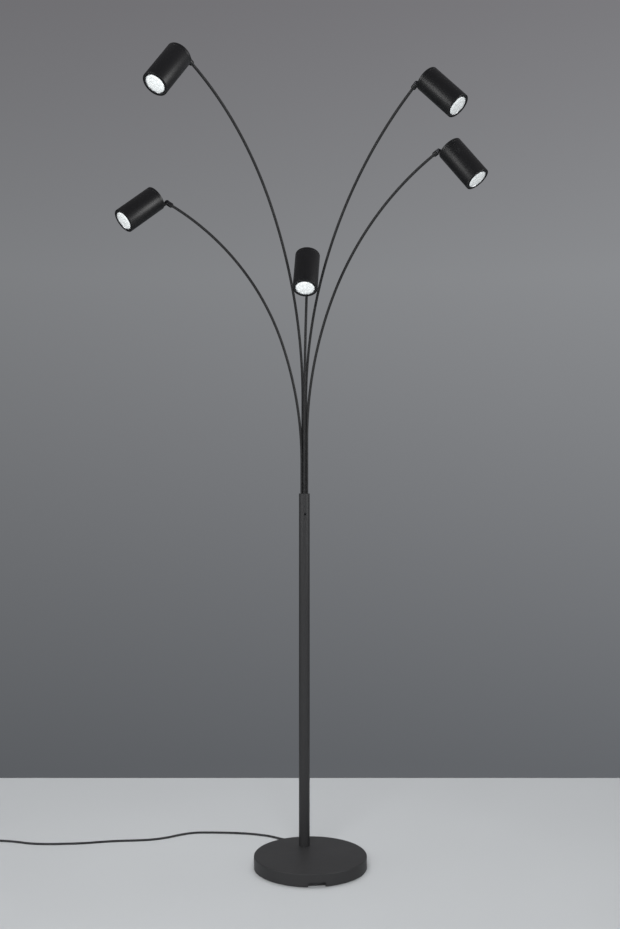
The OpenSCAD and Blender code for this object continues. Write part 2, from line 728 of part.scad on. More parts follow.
// A tube along the route p, whose first and last rings face along start and finish
module cord_tube(p, start, finish) {
    rings = ceil(span(p) / ring_step);
    points = [for (k = [0 : rings])
        let (t = k / rings,
             along = k == 0 ? start : k == rings ? finish : heading(p, t),
             side = unit(cross([0, 0, 1], along)),
             up = cross(along, side))
        for (j = [0 : cord_sides - 1])
            curve(p, t) + cord_d / 2 * (cos(360 * j / cord_sides) * side + sin(360 * j / cord_sides) * up)];
    faces = concat(
        [[for (j = [0 : cord_sides - 1]) j]],
        [for (k = [0 : rings - 1]) for (j = [0 : cord_sides - 1])
            let (a = k * cord_sides + j, b = k * cord_sides + (j + 1) % cord_sides)
            [a, a + cord_sides, b + cord_sides, b]],
        [[for (j = [0 : cord_sides - 1]) (rings + 1) * cord_sides - 1 - j]]);
    polyhedron(points, faces);
}

module base_cord() {
    color("#141414") cord_tube(BASE_ROUTE, [0, 1, 0], [-1, 0, 0]);
}

module plug_cord() {
    color("#141414") {
        cord_tube(SWITCH_RUN, [-1, 0, 0], [-1, 0, 0]);
        translate([0, plug_y, plug_z]) bar_x(cord_d, coil_mid[0] + 12, plug_tip_x);
    }
}

module cord_coil() {
    color("#141414") translate([coil_mid[0], coil_mid[1], 0])
        ring_z(2 * coil_out_r, 2 * coil_in_r, coil_layers * cord_d);
}

// --- Foot switch ---

// A plate with round ends, length along X
module stadium(length, width, h) {
    linear_extrude(h) {
        square([length - width, width], center = true);
        for (side = [-1, 1]) translate([side * (length - width) / 2, 0]) circle(d = width);
    }
}

module at_switch() { translate([switch_x, switch_y, 0]) children(); }

module switch_base() {
    color("#161616") at_switch() difference() {
        union() {
            stadium(switch_len, switch_w, switch_low_h);
            translate([0, 0, cord_exit_z]) intersection() {
                bar_x(collar_d, -switch_end, switch_end);
                translate([-switch_end, -collar_d, -cord_exit_z])
                    cube([2 * switch_end, 2 * collar_d, switch_low_h]);
            }
        }
        translate([0, 0, switch_wall])
            stadium(switch_len - 2 * switch_wall, switch_w - 2 * switch_wall, switch_low_h);
    }
}

module switch_cover() {
    color("#161616") at_switch() difference() {
        translate([0, 0, switch_low_h]) stadium(switch_len, switch_w, switch_h - switch_low_h);
        translate([0, 0, switch_low_h - eps])
            stadium(switch_len - 2 * switch_wall, switch_w - 2 * switch_wall,
                    switch_h - switch_wall - switch_low_h + eps);
        cylinder(d = button_hole_d, h = switch_h + 1);
    }
}

module switch_button() {
    lip_top = switch_h - switch_wall;
    color("#2a2a2c") at_switch() {
        translate([0, 0, lip_top - button_lip_t]) cylinder(d = button_d + 2 * button_lip, h = button_lip_t);
        translate([0, 0, lip_top - button_lip_t])
            cylinder(d = button_d, h = switch_wall + button_lip_t + button_rise);
    }
}

// --- Plug ---

module plug() {
    color("#161616") translate([plug_tip_x, plug_y, plug_z]) {
        translate([0, 0, 0]) rotate([0, 90, 0])
            cylinder(d1 = relief_tip_d, d2 = plug_sleeve_d, h = plug_sleeve);
        translate([plug_sleeve - eps, 0, -plug_t / 2]) linear_extrude(plug_t) polygon([
            [0, -plug_neck_w / 2], [plug_len * 0.45, -plug_w / 2], [plug_len * 0.75, -plug_w / 2],
            [plug_len, -plug_w / 2 + 4], [plug_len, plug_w / 2 - 4], [plug_len * 0.75, plug_w / 2],
            [plug_len * 0.45, plug_w / 2], [0, plug_neck_w / 2]]);
    }
    color("#c9c9cc") translate([plug_tip_x + plug_sleeve + plug_len - 2 * eps, plug_y, plug_z])
        for (side = [-1, 1]) translate([0, side * plug_pin_gap / 2, 0]) bar_x(plug_pin_d, 0, plug_pin_len);
}

base_pad();
base_weight();
base_cover();
base_clamp();
pole_foot();
pole();
arm_holder();
holder_screw();
arm_tips();
arm_leads();
lead_joint();
pole_lead();
strain_relief();
base_cord();
switch_base();
switch_cover();
switch_button();
plug_cord();
cord_coil();
plug();
for (i = [0 : 4]) {
    arm_tube(i);
    fork(i);
    pivot_screw(i);
    rear_cap(i);
    shell(i);
    lamp_socket(i);
    lamp(i);
    front_ring(i);
}
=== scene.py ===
"""Tree floor lamp: a weighted base, a pole, five curved arms and five tubular spotlights."""

import logging
from dataclasses import dataclass
from enum import Enum
from math import cos, pi, radians, sin, tan
from typing import ClassVar, Sequence

import bpy
from mathutils import Matrix, Vector


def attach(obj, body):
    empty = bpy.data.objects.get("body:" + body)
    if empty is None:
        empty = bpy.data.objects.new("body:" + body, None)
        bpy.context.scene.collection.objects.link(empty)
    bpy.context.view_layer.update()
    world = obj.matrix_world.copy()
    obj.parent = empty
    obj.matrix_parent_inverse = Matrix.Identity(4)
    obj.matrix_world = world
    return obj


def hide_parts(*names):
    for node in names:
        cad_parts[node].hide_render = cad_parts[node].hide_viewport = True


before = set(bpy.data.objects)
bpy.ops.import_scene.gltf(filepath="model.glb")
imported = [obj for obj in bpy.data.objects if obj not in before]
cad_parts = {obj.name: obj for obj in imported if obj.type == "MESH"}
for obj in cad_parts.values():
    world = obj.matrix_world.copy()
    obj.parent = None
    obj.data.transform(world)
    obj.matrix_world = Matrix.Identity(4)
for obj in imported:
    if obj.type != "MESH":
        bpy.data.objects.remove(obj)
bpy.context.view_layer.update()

MM = 0.001
LOG = logging.getLogger("tree_lamp")

Point2 = tuple[float, float]
Point3 = tuple[float, float, float]
Corner = tuple[float, ...]
Colour = tuple[float, float, float]
Object = bpy.types.Object
Material = bpy.types.Material
Socket = bpy.types.NodeSocket


# --- Names ---


class Arm(Enum):
    """The five arms, by the letter that their pieces carry."""

    UPPER_LEFT = "a"
    UPPER_RIGHT = "b"
    LOWER_RIGHT = "c"
    LOWER_LEFT = "d"
    MIDDLE = "e"


class Slot(Enum):
    """Material slots for the pieces made here."""

    BLACK_PAINT = "black_paint"
    BLACK_STEEL = "black_steel"
    BLACK_PLASTIC = "black_plastic"
    CORD = "cord"
    LAMP_BODY = "lamp_body"


# --- Modelling by hand ---


def moved(x: float, y: float, z: float) -> Matrix:
    """Moves by millimetres."""
    return Matrix.Translation(Vector((x, y, z)) * MM)


def turned(angle: float, axis: str) -> Matrix:
    """Turns by degrees about X, Y or Z."""
    return Matrix.Rotation(radians(angle), 4, axis)


def rounded(corners: Sequence[Corner], steps: int) -> list[Point2]:
    """Rounds the corners of a profile that have a fillet.

    Args:
        corners: (radius, height), or (radius, height, fillet) for a corner between two others.
        steps: The number of edges in each fillet.

    Returns:
        The (radius, height) points of the rounded profile.
    """
    points: list[Point2] = []
    for k, corner in enumerate(corners):
        if len(corner) == 2:
            points.append(corner)
            continue
        here, fillet = Vector(corner[:2]), corner[2]
        back = (Vector(corners[k - 1][:2]) - here).normalized()
        ahead = (Vector(corners[k + 1][:2]) - here).normalized()
        half = back.angle(ahead) / 2
        reach = fillet / tan(half)
        centre = here + (back + ahead).normalized() * (fillet / sin(half))
        start, end = here + back * reach - centre, here + ahead * reach - centre
        for s in range(steps + 1):
            spoke = start.lerp(end, s / steps).normalized() * fillet
            points.append(tuple(centre + spoke))
    return points


class Bench:
    """Blender's modelling operators, used on one piece at a time. Sizes are in millimetres."""

    @staticmethod
    def clear() -> None:
        """Leaves edit mode and deselects everything."""
        if bpy.context.object and bpy.context.object.mode != "OBJECT":
            bpy.ops.object.mode_set(mode="OBJECT")
        bpy.ops.object.select_all(action="DESELECT")

    @staticmethod
    def pick(*objs: Object) -> None:
        """Selects objects alone and makes the first one active.

        Args:
            objs: The objects.
        """
        Bench.clear()
        for obj in objs:
            obj.select_set(True)
        bpy.context.view_layer.objects.active = objs[0]

    @staticmethod
    def edit(obj: Object, kind: str = "VERT", action: str = "SELECT") -> None:
        """Opens an object in edit mode.

        Args:
            obj: The object.
            kind: Whether points, edges or faces are selected.
            action: Whether all or nothing is selected.
        """
        Bench.pick(obj)
        bpy.ops.object.mode_set(mode="EDIT")
        bpy.ops.mesh.select_mode(type=kind)
        bpy.ops.mesh.select_all(action=action)

    @staticmethod
    def tidy(obj: Object) -> Object:
        """Merges doubled points and turns all faces outwards.

        Args:
            obj: The mesh object.

        Returns:
            The same object, back in object mode.
        """
        Bench.edit(obj)
        bpy.ops.mesh.remove_doubles(threshold=1e-6)
        bpy.ops.mesh.normals_make_consistent(inside=False)
        Bench.clear()
        return obj

    @staticmethod
    def start_disc(name: str, radius: float, height: float, sides: int, filled: bool) -> Object:
        """Adds a ring of edges or a filled disc and leaves it selected in edit mode.

        Args:
            name: The new piece's name.
            radius: Its radius.
            height: Its height along Z.
            sides: Its number of edges.
            filled: Whether it is one face or only its edge.

        Returns:
            The new object.
        """
        Bench.clear()
        bpy.ops.mesh.primitive_circle_add(
            vertices=sides, radius=radius * MM, fill_type="NGON" if filled else "NOTHING"
        )
        obj = bpy.context.object
        obj.name = obj.data.name = name
        bpy.ops.object.mode_set(mode="EDIT")
        bpy.ops.mesh.select_mode(type="FACE" if filled else "EDGE")
        bpy.ops.mesh.select_all(action="SELECT")
        bpy.ops.transform.translate(value=(0, 0, height * MM))
        return obj

    @staticmethod
    def turn(
        name: str, profile: Sequence[Corner], sides: int = 64, filled: bool = True, steps: int = 3
    ) -> Object:
        """Makes a piece that is round about Z, ring by ring.

        Args:
            name: The new piece's name.
            profile: Its corners in order, as rounded() takes them. A filled piece gets a flat face
                at both ends; the profile of another runs round its wall and back to the start.
            sides: The number of edges of each ring.
            filled: Whether the piece is closed at its two ends.
            steps: The number of edges in each fillet.

        Returns:
            The new object.
        """
        extrude = bpy.ops.mesh.extrude_region_move if filled else bpy.ops.mesh.extrude_edges_move
        points = rounded(profile, steps)
        radius, height = points[0]
        obj = Bench.start_disc(name, radius, height, sides, filled)
        for r, z in points[1:] + ([] if filled else points[:1]):
            extrude(TRANSFORM_OT_translate={"value": (0, 0, (z - height) * MM)})
            ratio = r / radius
            if abs(ratio - 1) > 1e-9:
                bpy.ops.transform.resize(value=(ratio, ratio, 1), center_override=(0, 0, z * MM))
            radius, height = r, z
        return Bench.tidy(obj)

    @staticmethod
    def block(name: str, low: Point3, high: Point3, round_edges: float = 0, axis: int = -1) -> Object:
        """Makes a block from corner to corner.

        Args:
            name: The new piece's name.
            low: Its lowest corner.
            high: Its highest corner.
            round_edges: The radius of its rounded edges.
            axis: 0, 1 or 2 to round only the edges along X, Y or Z.

        Returns:
            The new object.
        """
        Bench.clear()
        bpy.ops.mesh.primitive_cube_add(size=MM, location=[(a + b) / 2 * MM for a, b in zip(low, high)])
        obj = bpy.context.object
        obj.name = obj.data.name = name
        obj.scale = [b - a for a, b in zip(low, high)]
        bpy.ops.object.transform_apply(location=True, rotation=True, scale=True)
        if round_edges > 0:
            Bench.edit(obj, "EDGE", "DESELECT")
            bpy.ops.object.mode_set(mode="OBJECT")
            for edge in obj.data.edges:
                a, b = (obj.data.vertices[i].co for i in edge.vertices)
                along = max(range(3), key=lambda k: abs(b[k] - a[k]))
                edge.select = axis in (-1, along)
            bpy.ops.object.mode_set(mode="EDIT")
            bpy.ops.mesh.bevel(offset=round_edges * MM, segments=4)
        Bench.clear()
        return obj

    @staticmethod
    def apply(obj: Object, kind: str, **values: object) -> Object:
        """Adds a modifier, sets it and applies it.

        Args:
            obj: The mesh object.
            kind: The modifier's type.
            values: Its settings by name.

        Returns:
            The same object.
        """
        Bench.pick(obj)
        modifier = obj.modifiers.new(kind.lower(), kind)
        for key, value in values.items():
            setattr(modifier, key, value)
        bpy.ops.object.modifier_apply(modifier=modifier.name)
        return obj

    @staticmethod
    def combine(obj: Object, operation: str, *tools: Object) -> Object:
        """Cuts tools from a piece ("DIFFERENCE") or joins them to it ("UNION"), and removes them.

        Args:
            obj: The piece.
            operation: The boolean's name.
            tools: The cutting or joining pieces.

        Returns:
            The piece.
        """
        for tool in tools:
            Bench.apply(obj, "BOOLEAN", operation=operation, solver="EXACT", object=tool)
            if not obj.data.polygons:
                raise ValueError(f"nothing is left of {obj.name} after {tool.name}")
            bpy.data.objects.remove(tool)
        return Bench.tidy(obj)

    @staticmethod
    def soften(obj: Object, width: float, segments: int = 2, angle: float = 30) -> Object:
        """Rounds the edges of a piece where its faces meet at more than an angle in degrees."""
        return Bench.apply(
            obj, "BEVEL", width=width * MM, segments=segments, limit_method="ANGLE",
            angle_limit=radians(angle), use_clamp_overlap=True,
        )

    @staticmethod
    def smooth(obj: Object, angle: float = 32) -> Object:
        """Shades faces smooth where they meet at less than an angle.

        Args:
            obj: The piece.
            angle: The angle in degrees.

        Returns:
            The piece.
        """
        Bench.pick(obj)
        bpy.ops.object.shade_smooth_by_angle(angle=radians(angle))
        Bench.clear()
        return obj

    @staticmethod
    def place(obj: Object, where: Matrix) -> Object:
        """Moves a piece and puts the move into its mesh.

        Args:
            obj: The piece.
            where: Its new place.

        Returns:
            The piece.
        """
        Bench.pick(obj)
        obj.matrix_world = where
        bpy.ops.object.transform_apply(location=True, rotation=True, scale=True)
        Bench.clear()
        return obj

    @staticmethod
    def copy(obj: Object, name: str, where: Matrix) -> Object:
        """Copies a piece with its own mesh and places the copy.

        Args:
            obj: The piece.
            name: The copy's name.
            where: The copy's place.

        Returns:
            The copy.
        """
        Bench.pick(obj)
        bpy.ops.object.duplicate(linked=False)
        twin = bpy.context.object
        twin.name = twin.data.name = name
        return Bench.place(twin, where)

    @staticmethod
    def merge(*objs: Object) -> Object:
        """Joins separate pieces, which keep their materials.

        Args:
            objs: The pieces.

        Returns:
            The first one, which now holds them all.
        """
        Bench.pick(*objs)
        bpy.ops.object.join()
        Bench.clear()
        return objs[0]


def ribbed_sleeve(name: str, thick: float, thin: float, length: float, ribs: int) -> Object:
    """Makes a tapered sleeve with grooves round it, along Z from its thick end.

    Args:
        name: The new piece's name.
        thick: Its radius at the start.
        thin: Its radius at the end.
        length: Its length.
        ribs: The number of its grooves.

    Returns:
        The new object.
    """
    groove = ((-1.0, 0), (-0.8, 0.55), (0.8, 0.55), (1.0, 0))
    profile: list[Corner] = [(thick * 0.93, 0), (thick, 0.4)]
    step = length / (ribs + 1)
    for k in range(1, ribs + 1):
        z = k * step
        r = thick + (thin - thick) * z / length
        profile += [(r - depth, z + offset) for offset, depth in groove]
    return Bench.turn(name, [*profile, (thin, length - 0.5), (thin * 0.9, length)], 32)


# --- Finishes ---


class Board:
    """The shader nodes of a material or of the surroundings, with short ways to add and link them."""

    def __init__(self, owner: Material | bpy.types.World) -> None:
        """Opens the nodes of a material or a world."""
        owner.use_nodes = True
        self.nodes, self.links = owner.node_tree.nodes, owner.node_tree.links

    @staticmethod
    def fill(node: bpy.types.Node, **values: object) -> None:
        """Sets plain values on a node's inputs, with underscores for the spaces of their names."""
        for key, value in values.items():
            node.inputs[key.replace("_", " ")].default_value = value

    def add(self, kind: str, **values: object) -> bpy.types.Node:
        """Adds a node and sets plain values on its inputs.

        Args:
            kind: Its type, without the leading ShaderNode.
            values: The values, as fill() takes them.

        Returns:
            The node.
        """
        node = self.nodes.new("ShaderNode" + kind)
        self.fill(node, **values)
        return node

    def link(self, source: Socket, node: bpy.types.Node, name: str | int) -> None:
        """Links an output to a node's input, by the input's name or number."""
        self.links.new(source, node.inputs[name])

    def ramp(self, source: Socket, stops: Sequence[tuple[float, Colour]]) -> Socket:
        """Turns a factor into a colour.

        Args:
            source: The factor.
            stops: (factor, colour) pairs in rising order, with a blend between them.

        Returns:
            The colour's output.
        """
        node = self.add("ValToRGB")
        elements = node.color_ramp.elements
        while len(elements) < len(stops):
            elements.new(0.5)
        for element, (position, colour) in zip(elements, stops):
            element.position, element.color = position, (*colour, 1)
        self.link(source, node, "Fac")
        return node.outputs["Color"]

    def span(self, source: Socket, limits: Point2, values: Point2) -> Socket:
        """Spreads a factor over a range of values.

        Args:
            source: The factor.
            limits: The factors at the two ends of the range.
            values: The values there.

        Returns:
            The value's output.
        """
        (low, high), (first, last) = limits, values
        node = self.add("MapRange", From_Min=low, From_Max=high, To_Min=first, To_Max=last)
        self.link(source, node, "Value")
        return node.outputs["Result"]


class Skin(Board):
    """The nodes of one material, on a principled shader."""

    def __init__(self, name: str) -> None:
        """Starts a material.

        Args:
            name: The material's name.
        """
        self.material = bpy.data.materials.new(name)
        super().__init__(self.material)
        self.shader = self.nodes["Principled BSDF"]
        self.place = self.add("TexCoord").outputs["Object"]

    def noise(self, scale: float, detail: float = 2, rough: float = 0.5) -> Socket:
        """Adds a noise over the piece.

        Args:
            scale: Its number of features in a metre.
            detail: Its octaves.
            rough: The strength of its finer octaves.

        Returns:
            Its factor output.
        """
        node = self.add("TexNoise", Scale=scale, Detail=detail, Roughness=rough)
        self.link(self.place, node, "Vector")
        return node.outputs["Fac"]

    def cells(self, scale: float) -> Socket:
        """Adds a pattern of cells over the piece.

        Args:
            scale: Its number of cells in a metre.

        Returns:
            Its distance output.
        """
        node = self.add("TexVoronoi", Scale=scale)
        self.link(self.place, node, "Vector")
        return node.outputs["Distance"]

    def bump(self, *layers: tuple[Socket, float, float]) -> None:
        """Puts layers of bump on the shader.

        Args:
            layers: For each layer its height, its strength and its depth in millimetres.
        """
        normal = None
        for height, strength, depth in layers:
            node = self.add("Bump", Strength=strength, Distance=depth * MM)
            self.link(height, node, "Height")
            if normal:
                self.link(normal, node, "Normal")
            normal = node.outputs["Normal"]
        self.link(normal, self.shader, "Normal")


@dataclass(frozen=True)
class Finish:
    """A finish whose shade and roughness vary over the piece."""

    name: str
    colour: Colour
    low_rough: float
    high_rough: float

    SHADES: ClassVar[Point2] = (0.8, 1.25)
    PATTERN: ClassVar[Point2] = (0.3, 0.7)

    def spread(self, skin: Skin, tone: Socket, wear: Socket) -> Socket:
        """Lets the colour follow one pattern and the roughness another.

        Args:
            skin: The material's nodes.
            tone: The pattern of the shades.
            wear: The pattern of the roughness.

        Returns:
            The colour's output.
        """
        shades = [tuple(min(1.0, c * factor) for c in self.colour) for factor in self.SHADES]
        colour = skin.ramp(tone, list(zip(self.PATTERN, shades)))
        skin.link(colour, skin.shader, "Base Color")
        rough = skin.span(wear, self.PATTERN, (self.low_rough, self.high_rough))
        skin.link(rough, skin.shader, "Roughness")
        return colour

    def lay(self, skin: Skin) -> None:
        """Lays one broad cloud. Most finishes lay their own patterns instead."""
        cloud = skin.noise(2.5, 3)
        self.spread(skin, cloud, cloud)

    def build(self) -> Material:
        """Makes the finish.

        Returns:
            Its material.
        """
        skin = Skin(self.name)
        self.lay(skin)
        return skin.material


@dataclass(frozen=True)
class PowderCoat(Finish):
    """Fine black powder coat: a pebbled skin with a soft sheen."""

    low_rough: float = 0.42
    high_rough: float = 0.52
    sheen: float = 0.5

    SHADES = (0.85, 1.18)

    def lay(self, skin: Skin) -> None:
        """Lays fine pebbles over faint ripples, and clouds of sheen.

        Args:
            skin: The material's nodes.
        """
        skin.fill(skin.shader, Specular_IOR_Level=self.sheen)
        pebbles, ripples = skin.noise(1500), skin.noise(160)
        self.spread(skin, pebbles, skin.noise(9, 3))
        skin.bump((pebbles, 0.12, 0.02), (ripples, 0.04, 0.02))


@dataclass(frozen=True)
class PlatedSteel(Finish):
    """Turned or plated steel with fine tool marks."""

    SHADES = (0.8, 1.15)

    def lay(self, skin: Skin) -> None:
        """Lays tool marks over a faint cloud.

        Args:
            skin: The material's nodes.
        """
        skin.fill(skin.shader, Metallic=1.0)
        marks, cloud = skin.noise(2600, 2, 0.6), skin.noise(60, 3)
        self.spread(skin, cloud, cloud)
        skin.bump((marks, 0.2, 0.01))


@dataclass(frozen=True)
class RawCasting(Finish):
    """Grey iron as it leaves the sand mould."""

    SHADES = (0.6, 1.5)

    def lay(self, skin: Skin) -> None:
        """Lays the sand's grain over broad hollows.

        Args:
            skin: The material's nodes.
        """
        skin.fill(skin.shader, Metallic=0.6)
        sand, patch = skin.noise(700, 4, 0.7), skin.noise(30, 4)
        self.spread(skin, patch, sand)
        skin.bump((sand, 0.6, 0.15), (skin.noise(90, 3), 0.3, 0.3))


@dataclass(frozen=True)
class SoftSheath(Finish):
    """Rubber or soft plastic with a faint drawn grain, as on cords, leads and the floor pad."""

    low_rough: float = 0.5
    high_rough: float = 0.65
    grain_per_metre: float = 900

    def lay(self, skin: Skin) -> None:
        """Lays the grain and a little dust.

        Args:
            skin: The material's nodes.
        """
        grain, dust = skin.noise(self.grain_per_metre, 3), skin.noise(45, 4, 0.6)
        self.spread(skin, dust, grain)
        skin.bump((grain, 0.25, 0.03))


@dataclass(frozen=True)
class MouldedPlastic(Finish):
    """Moulded plastic with the fine leathery grain of a spark-eroded mould."""

    low_rough: float = 0.45
    high_rough: float = 0.6
    grain_depth: float = 0.03

    SHADES = (0.9, 1.1)

    def lay(self, skin: Skin) -> None:
        """Lays the mould's grain and the plastic's flow.

        Args:
            skin: The material's nodes.
        """
        grain, flow = skin.cells(1400), skin.noise(25, 3)
        self.spread(skin, flow, flow)
        skin.bump((grain, 0.3, self.grain_depth))


@dataclass(frozen=True)
class LampLens(Finish):
    """The frosted front of a lit reflector lamp, with its small facets."""

    glow: float = 0.4

    SHADES = (1, 0.8)

    def lay(self, skin: Skin) -> None:
        """Lays the facets, which glow in their own colour.

        Args:
            skin: The material's nodes.
        """
        facets = skin.cells(230)
        skin.link(self.spread(skin, facets, facets), skin.shader, "Emission Color")
        skin.fill(skin.shader, Emission_Strength=self.glow)
        skin.bump((facets, 0.5, 0.4))


@dataclass(frozen=True)
class FloorPaper(Finish):
    """The pale sheet that the lamp stands on."""

    SHADES = (0.985, 1)


class Rack:
    """All finishes of the lamp, made once."""

    def __init__(self) -> None:
        """Makes the materials."""
        self.stand = PowderCoat("stand_coat", (0.032, 0.032, 0.033), sheen=0.2).build()
        self.arm = PowderCoat("arm_coat", (0.014, 0.014, 0.0145), 0.46, 0.54, 0.38).build()
        self.spotlight = PowderCoat("spotlight_coat", (0.0035, 0.0035, 0.004), 0.40, 0.46).build()
        self.black_steel = PlatedSteel("black_steel", (0.05, 0.05, 0.055), 0.35, 0.5).build()
        self.bright_steel = PlatedSteel("bright_steel", (0.6, 0.6, 0.62), 0.25, 0.4).build()
        self.pin_metal = PlatedSteel("plug_pin_metal", (0.72, 0.7, 0.66), 0.18, 0.3).build()
        self.reflector = PlatedSteel("lamp_reflector", (0.55, 0.56, 0.57), 0.25, 0.4).build()
        self.casting = RawCasting("cast_weight", (0.06, 0.06, 0.062), 0.6, 0.85).build()
        self.pad = SoftSheath("floor_pad", (0.02, 0.02, 0.02), 0.7, 0.9, 500).build()
        self.lead = SoftSheath("lead_sheath", (0.02, 0.02, 0.02)).build()
        self.cord = SoftSheath("cord_sheath", (0.022, 0.022, 0.024), 0.42, 0.58).build()
        self.plastic = MouldedPlastic("black_plastic", (0.016, 0.016, 0.017)).build()
        self.ring = MouldedPlastic("ring_plastic", (0.008, 0.008, 0.009), 0.4, 0.5).build()
        self.ceramic = MouldedPlastic("lamp_ceramic", (0.75, 0.73, 0.68), 0.4, 0.55, 0.01).build()
        self.lamp_body = MouldedPlastic("lamp_white", (0.78, 0.78, 0.76), 0.3, 0.4, 0.01).build()
        self.lens = LampLens("lamp_lens", (0.82, 0.85, 0.85), 0.25, 0.4).build()


def dress(obj: Object, finish: Material, body: str, slot: Slot, *nodes: str) -> Object:
    """Gives a finished piece its material and its body, and hides the nodes that it replaces.

    Args:
        obj: The piece.
        finish: Its material, added unless the piece already has its own.
        body: The CAD body that it moves with.
        slot: Not used.
        nodes: The CAD nodes that it stands for.

    Returns:
        The piece.
    """
    if not obj.data.materials:
        obj.data.materials.append(finish)
    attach(obj, body)
    if nodes:
        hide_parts(*nodes)
    LOG.info("piece %s on %s for %s", obj.name, body, ", ".join(nodes) or "no node")
    return obj


def dress_nodes(finish: Material, *nodes: str) -> None:
    """Gives CAD nodes that stay their material.

    Args:
        finish: The material.
        nodes: The nodes' names.
    """
    for node in nodes:
        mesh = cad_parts[node].data
        mesh.materials.clear()
        mesh.materials.append(finish)
        LOG.info("node %s kept in %s", node, finish.name)


# --- Stage ---


@dataclass(frozen=True)
class SoftBox:
    """A large soft lamp. It may be hidden from reflections, or seen in them alone."""

    name: str
    place: Point3
    aim: Point3
    width: float
    height: float
    watts: float
    mirrored: bool = True
    lights: bool = True

    def build(self) -> None:
        """Hangs the lamp and turns it to its aim."""
        light = bpy.data.lights.new(self.name, "AREA")
        light.shape = "RECTANGLE"
        light.size, light.size_y = self.width, self.height
        light.energy = self.watts
        obj = bpy.data.objects.new(self.name, light)
        bpy.context.scene.collection.objects.link(obj)
        obj.location = self.place
        obj.visible_glossy, obj.visible_diffuse = self.mirrored, self.lights
        obj.rotation_euler = (Vector(self.aim) - Vector(self.place)).to_track_quat("-Z", "Y").to_euler()


@dataclass(frozen=True)
class Stage:
    """The camera, the pale floor, the grey surroundings and the soft lamps, in metres."""

    camera_place: Point3 = (-0.0009, -2.597, 0.909)
    lens: float = 44.56
    sensor: float = 36
    floor_back: float = 0.737
    floor_half_width: float = 4.0
    floor_front: float = -6.0
    floor_colour: Colour = (0.505, 0.520, 0.532)
    room_low: Colour = (0.1156, 0.122, 0.132)
    room_middle: Colour = (0.229, 0.235, 0.246)
    room_high: Colour = (0.169, 0.166, 0.176)
    room_stops: Point3 = (0.375, 0.58, 0.7)
    room_glow: float = 0.6
    room_side: float = 0.4

    LAMPS: ClassVar[tuple[SoftBox, ...]] = (
        SoftBox("key", (-0.4, -3.2, 2.1), (0, 0, 0.5), 2.2, 1.6, 122, mirrored=False),
        SoftBox("fill", (2.4, -2.0, 2.2), (0, 0, 0.8), 1.8, 1.8, 4, mirrored=False),
        SoftBox("left_strip", (-2.0, -1.3, 1.75), (0, -0.2, 1.5), 1.0, 1.1, 18, lights=False),
        SoftBox("right_strip", (2.05, -0.95, 1.6), (0, -0.2, 1.5), 1.0, 1.1, 24, lights=False),
        SoftBox("top", (0, 1.1, 3.5), (0, 0.5, 0), 3.2, 2.4, 84, mirrored=False),
    )

    def set_camera(self) -> None:
        """Puts up the camera, which looks level along Y."""
        data = bpy.data.cameras.new("camera")
        data.sensor_width, data.lens = self.sensor, self.lens
        camera = bpy.data.objects.new("camera", data)
        bpy.context.scene.collection.objects.link(camera)
        camera.location = self.camera_place
        camera.rotation_euler = (pi / 2, 0, 0)
        bpy.context.scene.camera = camera

    def lay_floor(self) -> None:
        """Lays the floor, whose back edge meets the grey background."""
        Bench.clear()
        bpy.ops.mesh.primitive_plane_add(size=1)
        floor = bpy.context.object
        floor.name = floor.data.name = "floor"
        depth = self.floor_back - self.floor_front
        floor.scale = (2 * self.floor_half_width, depth, 1)
        floor.location = (0, self.floor_back - depth / 2, 0)
        bpy.ops.object.transform_apply(location=True, rotation=True, scale=True)
        floor.data.materials.append(FloorPaper("floor_paper", self.floor_colour, 0.5, 0.6).build())

    def light_room(self) -> None:
        """Makes the surroundings: grey where they are seen, and a dim light elsewhere."""
        world = bpy.data.worlds.new("room")
        bpy.context.scene.world = world
        board = Board(world)
        split, whole = board.add("SeparateXYZ"), (-1, 1)
        board.link(board.add("TexCoord").outputs["Generated"], split, "Vector")
        height = board.span(split.outputs["Z"], whole, (0, 1))
        greys = zip(self.room_stops, (self.room_low, self.room_middle, self.room_high))
        side = board.span(split.outputs["X"], whole, (1 - self.room_side, 1 + self.room_side))
        seen = board.nodes["Background"]
        board.link(board.ramp(height, list(greys)), seen, "Color")
        board.link(side, seen, "Strength")
        dim = board.add("Background", Color=(*self.room_middle, 1), Strength=self.room_glow)
        path, either, mix = board.add("LightPath"), board.add("Math"), board.add("MixShader")
        either.operation = "MAXIMUM"
        for k, ray in enumerate(("Is Camera Ray", "Is Glossy Ray")):
            board.link(path.outputs[ray], either, k)
        for source, name in ((either, "Fac"), (dim, 1), (seen, 2)):
            board.link(source.outputs[0], mix, name)
        board.link(mix.outputs[0], board.nodes["World Output"], "Surface")

    def build(self) -> None:
        """Sets up the floor, the surroundings and the lamps."""
        self.lay_floor()
        self.light_room()
        for lamp in self.LAMPS:
            lamp.build()
        bpy.context.scene.view_settings.view_transform = "Standard"


# --- Mains cord and its fittings ---


